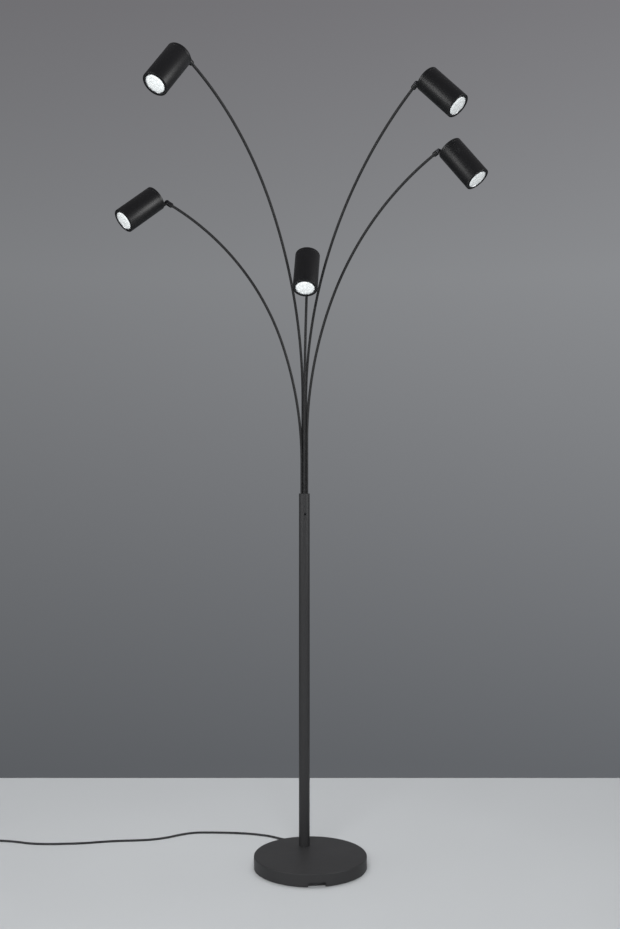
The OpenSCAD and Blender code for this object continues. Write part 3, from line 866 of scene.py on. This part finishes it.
@dataclass(frozen=True)
class MainsCord:
    """The cord from the base to the foot switch, and on through its coil to the plug."""

    rack: Rack
    diameter: float = 5.0
    relief_tip: Point3 = (-14, 152.5, 6.5)
    switch_centre: Point2 = (-838, 173)
    switch_reach: float = 48
    switch_exit: float = 6.5
    coil_centre: Point2 = (-956, 220)
    coil_outer: float = 37.5
    coil_inner: float = 22.5
    turns_in_layer: int = 3
    points_in_turn: int = 16
    plug_tip: Point3 = (-916, 257.5, 6.85)
    plug_run: float = 20
    plug_rise: float = 0.45

    ROUTE: ClassVar[tuple[Point3, ...]] = (
        (-14, 152.5, 6.5), (-15, 160.5, 5), (-20, 170.5, 3.5), (-32, 176, 2.5), (-48, 179, 2.5),
        (-66, 185, 2.5), (-82, 196, 2.5), (-100, 208, 2.5), (-120, 217, 2.5), (-148, 226, 2.5),
        (-184, 232, 2.5), (-215, 235, 2.5), (-245, 236, 2.5), (-285, 234, 2.5), (-318, 219, 2.5),
        (-345, 200, 2.5), (-380, 184, 2.5), (-418, 177, 2.5), (-460, 173, 2.5), (-500, 166, 2.5),
        (-540, 157, 2.5), (-585, 152, 2.5), (-630, 150, 2.5), (-668, 154, 2.5), (-700, 164, 2.5),
        (-726, 171, 2.5), (-752, 174, 3), (-775, 173.5, 5), (-790, 173, 6.5),
    )
    TO_COIL: ClassVar[tuple[Point3, ...]] = ((-900, 173.2, 4.6), (-914, 176, 2.5), (-930, 181, 2.5))

    def curve(self, name: str, points: Sequence[Point3]) -> Object:
        """Lays a round cord on one smooth curve.

        Args:
            name: The new piece's name.
            points: The points that it passes through.

        Returns:
            The cord's curve object.
        """
        data = bpy.data.curves.new(name, "CURVE")
        data.dimensions = "3D"
        data.bevel_depth = self.diameter / 2 * MM
        data.bevel_resolution = 5
        data.resolution_u = 8
        data.use_fill_caps = True
        spline = data.splines.new("BEZIER")
        spline.bezier_points.add(len(points) - 1)
        for knot, point in zip(spline.bezier_points, points):
            knot.co = Vector(point) * MM
            knot.handle_left_type = knot.handle_right_type = "AUTO"
        obj = bpy.data.objects.new(name, data)
        bpy.context.scene.collection.objects.link(obj)
        return obj

    def coil_points(self) -> list[Point3]:
        """Winds the coil inwards on the floor and outwards on top of that layer.

        Returns:
            The points of the coil, from the run that enters it to the run that leaves it.
        """
        (x, y), low = self.coil_centre, self.diameter / 2
        steps = self.turns_in_layer * self.points_in_turn
        climb = self.points_in_turn // 2
        points: list[Point3] = []
        for k in range(2 * steps + climb + 1):
            if k <= steps:
                share, lift = k / steps, 0.0
            elif k <= steps + climb:
                share, lift = 1.0, (k - steps) / climb
            else:
                share, lift = 1 - (k - steps - climb) / steps, 1.0
            r = self.coil_outer + (self.coil_inner - self.coil_outer) * share
            a = radians(270) - 2 * pi * k / self.points_in_turn
            points.append((x + r * cos(a), y + r * sin(a), low + lift * self.diameter))
        return points

    def build(self) -> tuple[Object, Object]:
        """Lays both cords and their finish.

        Returns:
            The cord to the switch and the cord to the plug.
        """
        first = self.curve("mains_cord", self.ROUTE)
        start = (self.switch_centre[0] - self.switch_reach, self.switch_centre[1], self.switch_exit)
        x, y, z = self.plug_tip
        last = ((x - self.plug_run, y, z + self.plug_rise), self.plug_tip)
        second = self.curve("plug_cord_run", [start, *self.TO_COIL, *self.coil_points(), *last])
        dress(first, self.rack.cord, "stand", Slot.CORD, "base_cord")
        dress(second, self.rack.cord, "stand", Slot.CORD, "plug_cord", "cord_coil")
        return first, second


@dataclass(frozen=True)
class StrainRelief:
    """The strain relief in the weight's edge: a sleeve, a neck and a block."""

    rack: Rack
    cord: MainsCord
    sleeve_start: float = 128.5
    sleeve_end: float = 152.5
    sleeve_radius: float = 4.25
    tip_radius: float = 3.1
    ribs: int = 5
    neck_start: float = 103.5
    neck_length: float = 26
    neck_radius: float = 3.2
    block_start: float = 103.8
    block_end: float = 111.5
    block_half_width: float = 6.9
    block_half_height: float = 3.45
    block_edge: float = 0.6

    def build(self) -> None:
        """Makes the three forms as one piece."""
        x, _, z = self.cord.relief_tip
        length = self.sleeve_end - self.sleeve_start
        sleeve = ribbed_sleeve("cord_sleeve", self.sleeve_radius, self.tip_radius, length, self.ribs)
        neck = Bench.turn("neck", [(self.neck_radius, 0), (self.neck_radius, self.neck_length)], 32)
        for piece, y in ((sleeve, self.sleeve_start), (neck, self.neck_start)):
            Bench.place(piece, moved(x, y, z) @ turned(-90, "X"))
        wide, high = self.block_half_width, self.block_half_height
        low, top = (x - wide, self.block_start, z - high), (x + wide, self.block_end, z + high)
        block = Bench.block("block", low, top, self.block_edge)
        Bench.smooth(Bench.combine(sleeve, "UNION", neck, block))
        dress(sleeve, self.rack.plastic, "stand", Slot.BLACK_PLASTIC, "strain_relief")


@dataclass(frozen=True)
class FootSwitch:
    """The foot switch: its two halves, and the button in the well of the upper one."""

    rack: Rack
    cord: MainsCord
    length: float = 76
    width: float = 36
    facets: int = 48
    seam: float = 9
    seam_gap: float = 0.2
    top: float = 20
    lower_edge: float = 0.8
    upper_edge: float = 3.5
    collar_sunk: float = 3
    collar_radius: float = 4.5
    collar_tip: float = 3.6
    rim_radius: float = 15.4
    rim_crest: float = 13.2
    rim_bore: float = 12.6
    rim_low: float = 15
    rim_top: float = 20.8
    rim_slope: float = 1
    well_floor: float = 13.5
    button_radius: float = 12
    button_gap: float = 0.3
    button_low: float = 17
    button_top: float = 23.5

    DISH: ClassVar[tuple[Point2, ...]] = ((7, 0), (6.6, 0.3), (4, 0.6), (1.5, 0.7))

    @property
    def centre(self) -> Matrix:
        """The place of the switch on the floor."""
        return moved(*self.cord.switch_centre, 0)

    def plate(self, name: str, low: float, high: float) -> Object:
        """Makes a plate with round ends, as long and as wide as the switch.

        Args:
            name: The new piece's name.
            low: The height of its lower face.
            high: The height of its upper face.

        Returns:
            The new object.
        """
        obj = Bench.start_disc(name, self.width / 2, low, self.facets, True)
        bpy.ops.transform.rotate(value=pi / self.facets, orient_axis="Z", center_override=(0, 0, 0))
        bpy.ops.object.mode_set(mode="OBJECT")
        for vertex in obj.data.vertices:
            vertex.co.x += (self.length - self.width) / 2 * MM * (1 if vertex.co.x > 0 else -1)
        bpy.ops.object.mode_set(mode="EDIT")
        bpy.ops.mesh.extrude_region_move(TRANSFORM_OT_translate={"value": (0, 0, (high - low) * MM)})
        return Bench.place(Bench.tidy(obj), self.centre)

    def lower(self) -> Object:
        """Makes the lower half with a collar for each cord.

        Returns:
            The lower half.
        """
        lower = Bench.soften(self.plate("foot_switch_lower", 0, self.seam), self.lower_edge)
        reach = self.cord.switch_reach - self.length / 2 + self.collar_sunk
        for side in (-1, 1):
            collar = ribbed_sleeve("collar", self.collar_radius, self.collar_tip, reach, 2)
            start = self.centre @ moved(side * (self.cord.switch_reach - reach), 0, self.cord.switch_exit)
            Bench.combine(lower, "UNION", Bench.place(collar, start @ turned(90 * side, "Y")))
        return Bench.smooth(lower)

    def upper(self) -> Object:
        """Makes the upper half with the rim and the well of the button.

        Returns:
            The upper half.
        """
        upper = self.plate("foot_switch_upper", self.seam + self.seam_gap, self.top)
        Bench.soften(upper, self.upper_edge, 5)
        rim = Bench.turn("rim", [
            (self.rim_radius, self.rim_low), (self.rim_radius, self.rim_top, 0.8),
            (self.rim_crest, self.rim_top, 0.5), (self.rim_bore, self.rim_top - self.rim_slope)])
        Bench.combine(upper, "UNION", Bench.place(rim, self.centre))
        bore = self.button_radius + self.button_gap
        well = Bench.turn("well", [(bore, self.well_floor), (bore, self.top + 10)])
        return Bench.smooth(Bench.combine(upper, "DIFFERENCE", Bench.place(well, self.centre)))

    def button(self) -> Object:
        """Makes the button with its shallow dish.

        Returns:
            The button.
        """
        out, top = self.button_radius, self.button_top
        dish = [(r, top - depth) for r, depth in self.DISH]
        button = Bench.turn("foot_switch_button", [(out, self.button_low), (out, top, 1.2), *dish], steps=4)
        return Bench.smooth(Bench.place(button, self.centre))

    def build(self) -> list[Object]:
        """Makes and dresses the switch.

        Returns:
            Its three pieces.
        """
        pieces = [self.lower(), self.upper(), self.button()]
        kinds = (("stand", "switch_base"), ("stand", "switch_cover"), ("button", "switch_button"))
        for piece, (body, node) in zip(pieces, kinds):
            dress(piece, self.rack.plastic, body, Slot.BLACK_PLASTIC, node)
        return pieces


@dataclass(frozen=True)
class Plug:
    """The flat two-pin plug with its ribbed sleeve and its half-insulated pins."""

    rack: Rack
    cord: MainsCord
    length: float = 37
    width: float = 35
    neck_width: float = 16
    shoulder: float = 17
    thickness: float = 13.7
    edge: float = 2.6
    sleeve_length: float = 20
    sleeve_sunk: float = 2
    sleeve_radius: float = 4.5
    sleeve_tip: float = 3.1
    pin_gap: float = 18.6
    pin_radius: float = 2
    pin_length: float = 19
    pin_sunk: float = 1
    sock_radius: float = 1.9
    sock_length: float = 11

    def body(self) -> Object:
        """Makes the flat body, narrower towards the cord, with its sleeve.

        Returns:
            The body.
        """
        x, y, z = self.cord.plug_tip
        start, wide, high = x + self.sleeve_length, self.width / 2, self.thickness / 2
        low, top = (start, y - wide, z - high), (start + self.length, y + wide, z + high)
        body = Bench.block("flat_plug", low, top)
        Bench.edit(body)
        bpy.ops.mesh.bisect(plane_co=((start + self.shoulder) * MM, 0, 0), plane_no=(1, 0, 0))
        bpy.ops.object.mode_set(mode="OBJECT")
        for vertex in body.data.vertices:
            if vertex.co.x < (start + 1) * MM:
                vertex.co.y = y * MM + (vertex.co.y - y * MM) * self.neck_width / self.width
        Bench.soften(Bench.tidy(body), self.edge, 4, 20)
        reach = self.sleeve_length + self.sleeve_sunk
        sleeve = ribbed_sleeve("sleeve", self.sleeve_radius, self.sleeve_tip, reach, 4)
        Bench.place(sleeve, moved(start + self.sleeve_sunk, y, z) @ turned(-90, "Y"))
        return Bench.combine(body, "UNION", sleeve)

    def build(self) -> Object:
        """Makes the plug and dresses it.

        Returns:
            The plug.
        """
        body = self.body()
        body.data.materials.append(self.rack.plastic)
        x, y, z = self.cord.plug_tip
        foot, top = x + self.sleeve_length + self.length - self.pin_sunk, self.pin_sunk + self.pin_length
        for side in (-1, 1):
            sock = Bench.turn("sock", [(self.sock_radius, 0), (self.sock_radius, self.sock_length)], 32)
            tip = Bench.turn("tip", [
                (self.pin_radius, self.sock_length - 0.5), (self.pin_radius, top, 1.2), (0.5, top)], 32)
            at = moved(foot, y + side * self.pin_gap / 2, z) @ turned(90, "Y")
            for piece, finish in ((sock, self.rack.plastic), (tip, self.rack.pin_metal)):
                piece.data.materials.append(finish)
                Bench.smooth(Bench.place(piece, at))
            Bench.merge(body, sock, tip)
        return dress(Bench.smooth(body), self.rack.plastic, "stand", Slot.BLACK_PLASTIC, "plug")


@dataclass(frozen=True)
class CoilTie:
    """The strap that holds the coil together."""

    rack: Rack
    cord: MainsCord
    width: float = 8
    wall: float = 0.7
    half_span: float = 10.6
    low: float = 0.05
    inner_low: float = 0.6
    inner_top: float = 10.1
    top: float = 10.7
    outer_edge: float = 3.5
    inner_edge: float = 3.0

    def build(self) -> Object:
        """Makes the strap and dresses it.

        Returns:
            The strap.
        """
        half, out, bore = self.width / 2, self.half_span, self.half_span - self.wall
        clear = half + 5
        band = Bench.block("coil_tie", (-out, -half, self.low), (out, half, self.top), self.outer_edge, 1)
        low, top = (-bore, -clear, self.inner_low), (bore, clear, self.inner_top)
        Bench.combine(band, "DIFFERENCE", Bench.block("hole", low, top, self.inner_edge, 1))
        x, y = self.cord.coil_centre
        Bench.place(band, moved(x - (self.cord.coil_outer + self.cord.coil_inner) / 2, y, 0))
        return dress(Bench.smooth(band), self.rack.plastic, "stand", Slot.BLACK_PLASTIC)


# --- Base and pole ---


@dataclass(frozen=True)
class Base:
    """The round base: its cover, and the CAD's weight, pad and fixings under it."""

    rack: Rack
    radius: float = 127.5
    top: float = 29
    wall: float = 1.5
    lift: float = 1
    edge: float = 3
    flat: float = 40
    notch_width: float = 38
    notch_height: float = 10
    notch_edge: float = 3.5
    front_notch: float = 6.5
    pole_x: float = -14

    def cover(self) -> Object:
        """Makes the pressed cover with its rounded edge and its two cord notches.

        Returns:
            The cover.
        """
        inner, under = self.radius - self.wall, self.top - self.wall
        cover = Bench.turn("base_plate_cover", [
            (self.flat, self.top), (self.radius, self.top, self.edge), (self.radius, self.lift, 0.5),
            (inner, self.lift, 0.5), (inner, under, 1.5), (self.flat, under)], 160, steps=6)
        half = self.notch_width / 2
        low, top = (-half, -self.radius - 20, -5), (half, -self.radius / 2, self.notch_height)
        for azimuth, offset in ((self.front_notch, 0), (180, self.pole_x)):
            notch = Bench.block("notch", low, top, self.notch_edge, 1)
            Bench.place(notch, moved(offset, 0, 0) @ turned(azimuth, "Z"))
            Bench.combine(cover, "DIFFERENCE", notch)
        return Bench.smooth(cover, 25)

    def build(self) -> None:
        """Makes the cover and dresses what is under it."""
        dress(self.cover(), self.rack.stand, "stand", Slot.BLACK_PAINT, "base_cover")
        dress_nodes(self.rack.casting, "base_weight")
        dress_nodes(self.rack.pad, "base_pad")
        dress_nodes(self.rack.bright_steel, "base_clamp")


@dataclass(frozen=True)
class Pole:
    """The pole with its set screw hole, and the arm holder in its top."""

    rack: Rack
    place: Point2 = (-14, 60)
    radius: float = 12.5
    bore: float = 11
    low: float = 29
    top: float = 842
    screw_drop: float = 47
    screw_azimuth: float = 8
    screw_hole: float = 2.8

    def tube(self) -> Object:
        """Makes the pole.

        Returns:
            The pole.
        """
        pole = Bench.turn("pole_tube", [
            (self.bore, self.low), (self.radius, self.low, 0.3), (self.radius, self.top, 0.6),
            (self.bore, self.top)], filled=False)
        drill = Bench.turn("drill", [(self.screw_hole, self.bore - 6), (self.screw_hole, self.bore + 9)], 32)
        height = moved(0, 0, self.top - self.screw_drop)
        Bench.place(drill, height @ turned(self.screw_azimuth, "Z") @ turned(90, "X"))
        Bench.combine(pole, "DIFFERENCE", drill)
        return Bench.smooth(Bench.place(pole, moved(*self.place, 0)))

    def build(self) -> None:
        """Makes the pole and dresses what is in it."""
        dress(self.tube(), self.rack.stand, "stand", Slot.BLACK_PAINT, "pole")
        dress_nodes(self.rack.bright_steel, "pole_foot")
        dress_nodes(self.rack.arm, "arm_holder", "arm_tips")
        dress_nodes(self.rack.black_steel, "holder_screw")
        dress_nodes(self.rack.ceramic, "lead_joint")
        dress_nodes(self.rack.lead, "pole_lead", "arm_leads")


# --- Arms and spotlights ---


@dataclass(frozen=True)
class Branch:
    """One arm with its knuckle and its spotlight. Angles are in degrees."""

    arm: Arm
    seat_azimuth: float
    azimuth: float
    straight: float
    low_radius: float
    low_bend: float
    high_radius: float
    high_bend: float
    swivel: float
    tilt: float
    ring: float = 6.4
    seat_depth: float = 35
    tube_radius: float = 3
    knuckle_reach: float = 15
    ear_side: float = 21.5
    ear_back: float = 15

    def foot(self, pole: Pole) -> Matrix:
        """Finds the arm's place in the top of the pole, turned the way that the arm leans."""
        a, (x, y) = radians(self.seat_azimuth), pole.place
        return moved(x + self.ring * sin(a), y - self.ring * cos(a), pole.top) @ turned(self.azimuth, "Z")

    def bends(self) -> list[tuple[float, float, Matrix]]:
        """Follows the arm from its foot.

        Returns:
            (radius, angle, end) for each bend.
        """
        at = moved(0, 0, self.straight)
        found: list[tuple[float, float, Matrix]] = []
        for radius, bend in ((self.low_radius, self.low_bend), (self.high_radius, self.high_bend)):
            b = radians(bend)
            at = at @ moved(0, -radius * (1 - cos(b)), radius * sin(b)) @ turned(bend, "X")
            found.append((radius, bend, at))
        return found

    def knuckle(self, pole: Pole) -> Matrix:
        """Finds the fork on the arm's end, with X along the tilt axis."""
        return self.foot(pole) @ self.bends()[-1][2] @ turned(self.swivel, "Z")

    def head(self, pole: Pole) -> Matrix:
        """Finds the spotlight's rear face, with Z along its beam."""
        axis = self.knuckle(pole) @ moved(0, 0, self.knuckle_reach) @ turned(self.tilt, "X")
        return axis @ moved(0, self.ear_side, self.ear_back)

    def tube(self, pole: Pole) -> Object:
        """Makes the arm's bent tube by extruding a disc and spinning it round each bend.

        Args:
            pole: The pole that holds it.

        Returns:
            The tube.
        """
        obj = Bench.start_disc("arm_" + self.arm.value, self.tube_radius, -self.seat_depth, 20, True)
        bpy.ops.mesh.extrude_region_move(
            TRANSFORM_OT_translate={"value": (0, 0, (self.straight + self.seat_depth) * MM)}
        )
        at = moved(0, 0, self.straight)
        for radius, bend, end in self.bends():
            bpy.ops.mesh.spin(
                steps=max(6, round(bend * 1.6)), angle=-radians(bend),
                center=at @ Vector((0, -radius * MM, 0)), axis=(1, 0, 0),
            )
            at = end
        return Bench.smooth(Bench.place(Bench.tidy(obj), self.foot(pole)))


@dataclass(frozen=True)
class Knuckle:
    """The fork and the pivot screw, modelled once and copied to each arm."""

    radius: float = 5.5
    low: float = 1.3
    reach: float = 15
    chamfer: float = 0.5
    floor: float = 5.2
    flat: float = 4
    slot: float = 5.4
    cheek: float = 4.6
    face_radius: float = 4.4
    shank: float = 2.0
    head_radius: float = 3.5
    head_height: float = 2.2
    socket_radius: float = 1.25
    socket_depth: float = 1.4
    nut_face: float = 3.4

    def across(self, obj: Object) -> Object:
        """Lays a piece made along Z on the tilt axis."""
        return Bench.place(obj, moved(0, 0, self.reach) @ turned(90, "Y"))

    def fork(self) -> Object:
        """Models the fork at the origin, with its slot across Y and a ramp at both its ends.

        Returns:
            The fork.
        """
        r, half, deep = self.radius, self.slot / 2, 10
        dome = [
            (r * cos(radians(a)), self.reach + r * sin(radians(a))) for a in range(0, 85, 7)
        ]
        fork = Bench.turn("fork", [(r - self.chamfer, self.low), (r, self.low + self.chamfer), *dome], 48)
        tools = [Bench.block("slot", (-half, -deep, self.floor), (half, deep, 2 * self.reach))]
        for side in (-1, 1):
            ramp = Bench.block("ramp", (-half, -deep / 2, 0), (half, deep / 2, deep))
            tools.append(Bench.place(ramp, moved(0, side * self.flat, self.floor) @ turned(-45 * side, "X")))
        for low, high in ((self.cheek, 9), (-9, -self.cheek)):
            face = Bench.turn("face", [(self.face_radius, low), (self.face_radius, high)], 40)
            tools.append(self.across(face))
        Bench.combine(fork, "DIFFERENCE", *tools)
        return Bench.smooth(Bench.soften(fork, 0.25, 2, 40))

    def screw(self) -> Object:
        """Models the pivot screw with its socket head and its nut.

        Returns:
            The screw and nut as one object.
        """
        r, out, top = self.head_radius, self.cheek, self.cheek + self.head_height
        screw = Bench.turn("pivot", [
            (self.shank, -top), (self.shank, out), (r, out, 0.15), (r, top, 0.5), (1.9, top)], 40)
        socket = [(self.socket_radius, top - self.socket_depth), (self.socket_radius, top + 1)]
        Bench.combine(screw, "DIFFERENCE", Bench.turn("socket", socket, 6))
        face = self.nut_face
        nut = Bench.turn("nut", [(face, -top), (r, -top + 0.3), (r, -out - 0.2), (face, -out)], 6)
        Bench.smooth(self.across(screw))
        return Bench.merge(screw, self.across(nut))


@dataclass(frozen=True)
class Spotlight:
    """The tubular spotlight, modelled once with its rear face on the origin and copied."""

    radius: float = 27.5
    bore: float = 26
    length: float = 96
    edge: float = 0.7
    cap_rim: float = 6
    cap_floor: float = 3
    skirt: float = 25.95
    skirt_wall: float = 2
    skirt_top: float = 11
    ear_thickness: float = 5
    ear_width: float = 8
    ear_radius: float = 4.8
    ear_hole: float = 2.05
    ear_side: float = 21.5
    ear_back: float = 15
    bar_width: float = 8
    bar_height: float = 8
    bar_edge: float = 0.8
    ring_bore: float = 21.5
    ring_slope: float = 1.9
    ring_low: float = 92.5
    ring_top: float = 95
    lamp_low: float = 38.5
    lamp_neck: float = 12
    lamp_neck_length: float = 14
    lamp_cup: float = 25
    lamp_cup_depth: float = 9
    lamp_pin: float = 2.4
    lamp_pin_side: float = 5
    lens_radius: float = 21.3
    lit_radius: float = 20.4
    lens_stand: float = 3.4
    lens_lobes: int = 14
    lobe_depth: float = 0.022

    DOME: ClassVar[tuple[Point2, ...]] = ((16, 0.5), (9, 0.9), (3, 1.1))

    def rear_cap(self) -> Object:
        """Models the rear cap with its ear and its bar.

        Returns:
            The cap.
        """
        inner, sides = self.skirt - self.skirt_wall, self.ear_thickness / 2
        cap = Bench.turn("cap", [
            (20, 0), (self.radius, 0, self.edge), (self.radius, self.cap_rim, 0.4),
            (self.skirt, self.cap_rim), (self.skirt, self.skirt_top, 0.3), (inner, self.skirt_top, 0.3),
            (inner, self.cap_floor, 0.5), (8, self.cap_floor)], 96)
        y, z, out = -self.ear_side, -self.ear_back, self.ear_width / 2
        ear = Bench.block("ear", (-sides, y - out, z), (sides, y + out, self.cap_floor / 2), 0.4, 2)
        eye = Bench.turn("eye", [
            (3, -sides), (self.ear_radius, -sides, 0.4), (self.ear_radius, sides, 0.4), (3, sides)], 40)
        hole = Bench.turn("hole", [(self.ear_hole, -9), (self.ear_hole, 9)], 32)
        for operation, tool in (("UNION", eye), ("DIFFERENCE", hole)):
            Bench.combine(ear, operation, Bench.place(tool, moved(0, y, z) @ turned(90, "Y")))
        return Bench.smooth(Bench.combine(cap, "UNION", self.bar(), ear))

    def bar(self) -> Object:
        """Models the bar on the rear face that braces the ear.

        Returns:
            The bar.
        """
        half, back, front = self.bar_width / 2, -self.bar_height, self.cap_floor / 2
        start = -self.ear_side + self.ear_width / 4
        bar = Bench.block("bar", (-half, start, back), (half, 0, front), self.bar_edge, 1)
        end = Bench.turn("bar_end", [(2, back), (half, back, self.bar_edge), (half, front), (2, front)], 48)
        return Bench.combine(bar, "UNION", end)

    def shell(self) -> Object:
        """Models the tubular shell."""
        return Bench.smooth(Bench.turn("shell", [
            (self.bore, self.cap_rim), (self.radius, self.cap_rim, 0.4),
            (self.radius, self.length, self.edge), (self.bore, self.length)], 96, filled=False))

    def front_ring(self) -> Object:
        """Models the front ring with its sloping inner edge.

        Returns:
            The ring.
        """
        bore, low, top = self.ring_bore, self.ring_low, self.ring_top
        return Bench.smooth(Bench.turn("ring", [
            (bore, low), (self.skirt, low), (self.skirt, top, 0.3), (bore + self.ring_slope, top, 0.3),
            (bore, low + 1)], 96, filled=False))

    def lamp_body(self) -> Object:
        """Models the lamp's body with its two pins.

        Returns:
            The body.
        """
        low, front, top = self.lamp_low, self.ring_low, self.ring_low + self.lens_stand
        neck, cup, lit = self.lamp_neck, self.lamp_cup, self.lit_radius
        body = Bench.turn("lamp", [
            (8, low), (neck, low, 1), (neck, low + self.lamp_neck_length, 3),
            (cup, front - self.lamp_cup_depth, 3), (cup, front, 0.5), (lit, front), (lit, top - 1.4),
            (4, top - 1.4)], 96)
        pins = [
            Bench.place(
                Bench.turn("pin", [(self.lamp_pin, low - 6), (self.lamp_pin, low + 2)], 24),
                moved(side * self.lamp_pin_side, 0, 0),
            )
            for side in (-1, 1)
        ]
        return Bench.smooth(Bench.combine(body, "UNION", *pins))

    def lens(self) -> Object:
        """Models the lamp's domed lens, whose rim has shallow lobes.

        Returns:
            The lens.
        """
        lit, top = self.lit_radius, self.ring_low + self.lens_stand
        dome = [(r, top + rise) for r, rise in self.DOME]
        lens = Bench.turn("lens", [
            (lit, top - 1.6), (lit, top - 0.6), (lit - 0.6, top - 0.1), *dome], self.lens_lobes * 8)
        for vertex in lens.data.vertices:
            spoke = Vector(vertex.co[:2])
            if spoke.length / MM > lit - 2:
                lobe = spoke.angle_signed(Vector((1, 0))) * self.lens_lobes
                vertex.co.xy = spoke * (1 - self.lobe_depth * (1 + cos(lobe)))
        return Bench.smooth(lens)

    def bezel(self) -> Object:
        """Models the bright edge round the lens.

        Returns:
            The bezel.
        """
        lit, out, front = self.lit_radius, self.lens_radius, self.ring_low
        top = front + self.lens_stand
        return Bench.smooth(Bench.turn("bezel", [
            (lit - 1, front - 0.5), (out, front - 0.5), (out, top, 0.3), (lit + 0.2, top - 0.1, 0.2),
            (lit - 1, top - 1.8)], 96, filled=False))

    def lamp(self, rack: Rack) -> Object:
        """Puts the reflector lamp together.

        Args:
            rack: The finishes.

        Returns:
            The lamp.
        """
        pieces = self.lamp_body(), self.bezel(), self.lens()
        for piece, finish in zip(pieces, (rack.lamp_body, rack.reflector, rack.lens)):
            piece.data.materials.append(finish)
        return Bench.merge(*pieces)


@dataclass(frozen=True)
class Crown:
    """All five arms with their knuckles and spotlights."""

    rack: Rack
    pole: Pole
    branches: tuple[Branch, ...] = (
        Branch(Arm.UPPER_LEFT, -144, -33, 215, 775, 34, 635, 32.5, -7, 74.5),
        Branch(Arm.UPPER_RIGHT, 144, 41.5, 210, 765, 25.5, 820, 29, 14, 82),
        Branch(Arm.LOWER_RIGHT, 72, 52.5, 123, 745, 25, 630, 36.5, 6, 79),
        Branch(Arm.LOWER_LEFT, -72, -68.5, 72, 795, 20, 540, 42.5, 9.5, 66),
        Branch(Arm.MIDDLE, 0, 8, 155, 1000, 5, 1350, 12, -10, 130.5),
    )

    def build(self) -> None:
        """Models each kind of piece once and copies it to every arm."""
        rack, knuckle, spotlight = self.rack, Knuckle(), Spotlight()
        on_knuckle = (
            ("knuckle_fork_", knuckle.fork(), rack.spotlight, Slot.BLACK_PAINT, "fork_"),
            ("knuckle_screw_", knuckle.screw(), rack.black_steel, Slot.BLACK_STEEL, "pivot_screw_"),
        )
        on_head = (
            ("spot_rear_cap_", spotlight.rear_cap(), rack.spotlight, Slot.BLACK_PAINT, "rear_cap_"),
            ("spot_shell_", spotlight.shell(), rack.spotlight, Slot.BLACK_PAINT, "shell_"),
            ("spot_front_ring_", spotlight.front_ring(), rack.ring, Slot.BLACK_PLASTIC, "front_ring_"),
            ("spot_lamp_", spotlight.lamp(rack), rack.lamp_body, Slot.LAMP_BODY, "lamp_"),
        )
        for branch in self.branches:
            letter = branch.arm.value
            dress(branch.tube(self.pole), rack.arm, "stand", Slot.BLACK_PAINT, "arm_tube_" + letter)
            for body, at, kinds in (
                ("knuckle_", branch.knuckle(self.pole), on_knuckle),
                ("spotlight_", branch.head(self.pole), on_head),
            ):
                for name, model, finish, slot, node in kinds:
                    piece = Bench.copy(model, name + letter, at)
                    dress(piece, finish, body + letter, slot, node + letter)
            dress_nodes(rack.ceramic, "lamp_socket_" + letter)
        for _, model, *_ in on_knuckle + on_head:
            bpy.data.objects.remove(model)


def main() -> None:
    """Builds the lamp and its stage."""
    logging.basicConfig(level=logging.INFO, format="%(message)s")
    stage = Stage()
    stage.set_camera()
    rack = Rack()
    cord = MainsCord(rack)
    first, second = cord.build()
    switch = FootSwitch(rack, cord).build()
    ends = [Plug(rack, cord).build(), CoilTie(rack, cord).build()]
    StrainRelief(rack, cord).build()
    Base(rack).build()
    pole = Pole(rack)
    pole.build()
    Crown(rack, pole).build()
    stage.build()


if __name__ == "__main__":
    main()
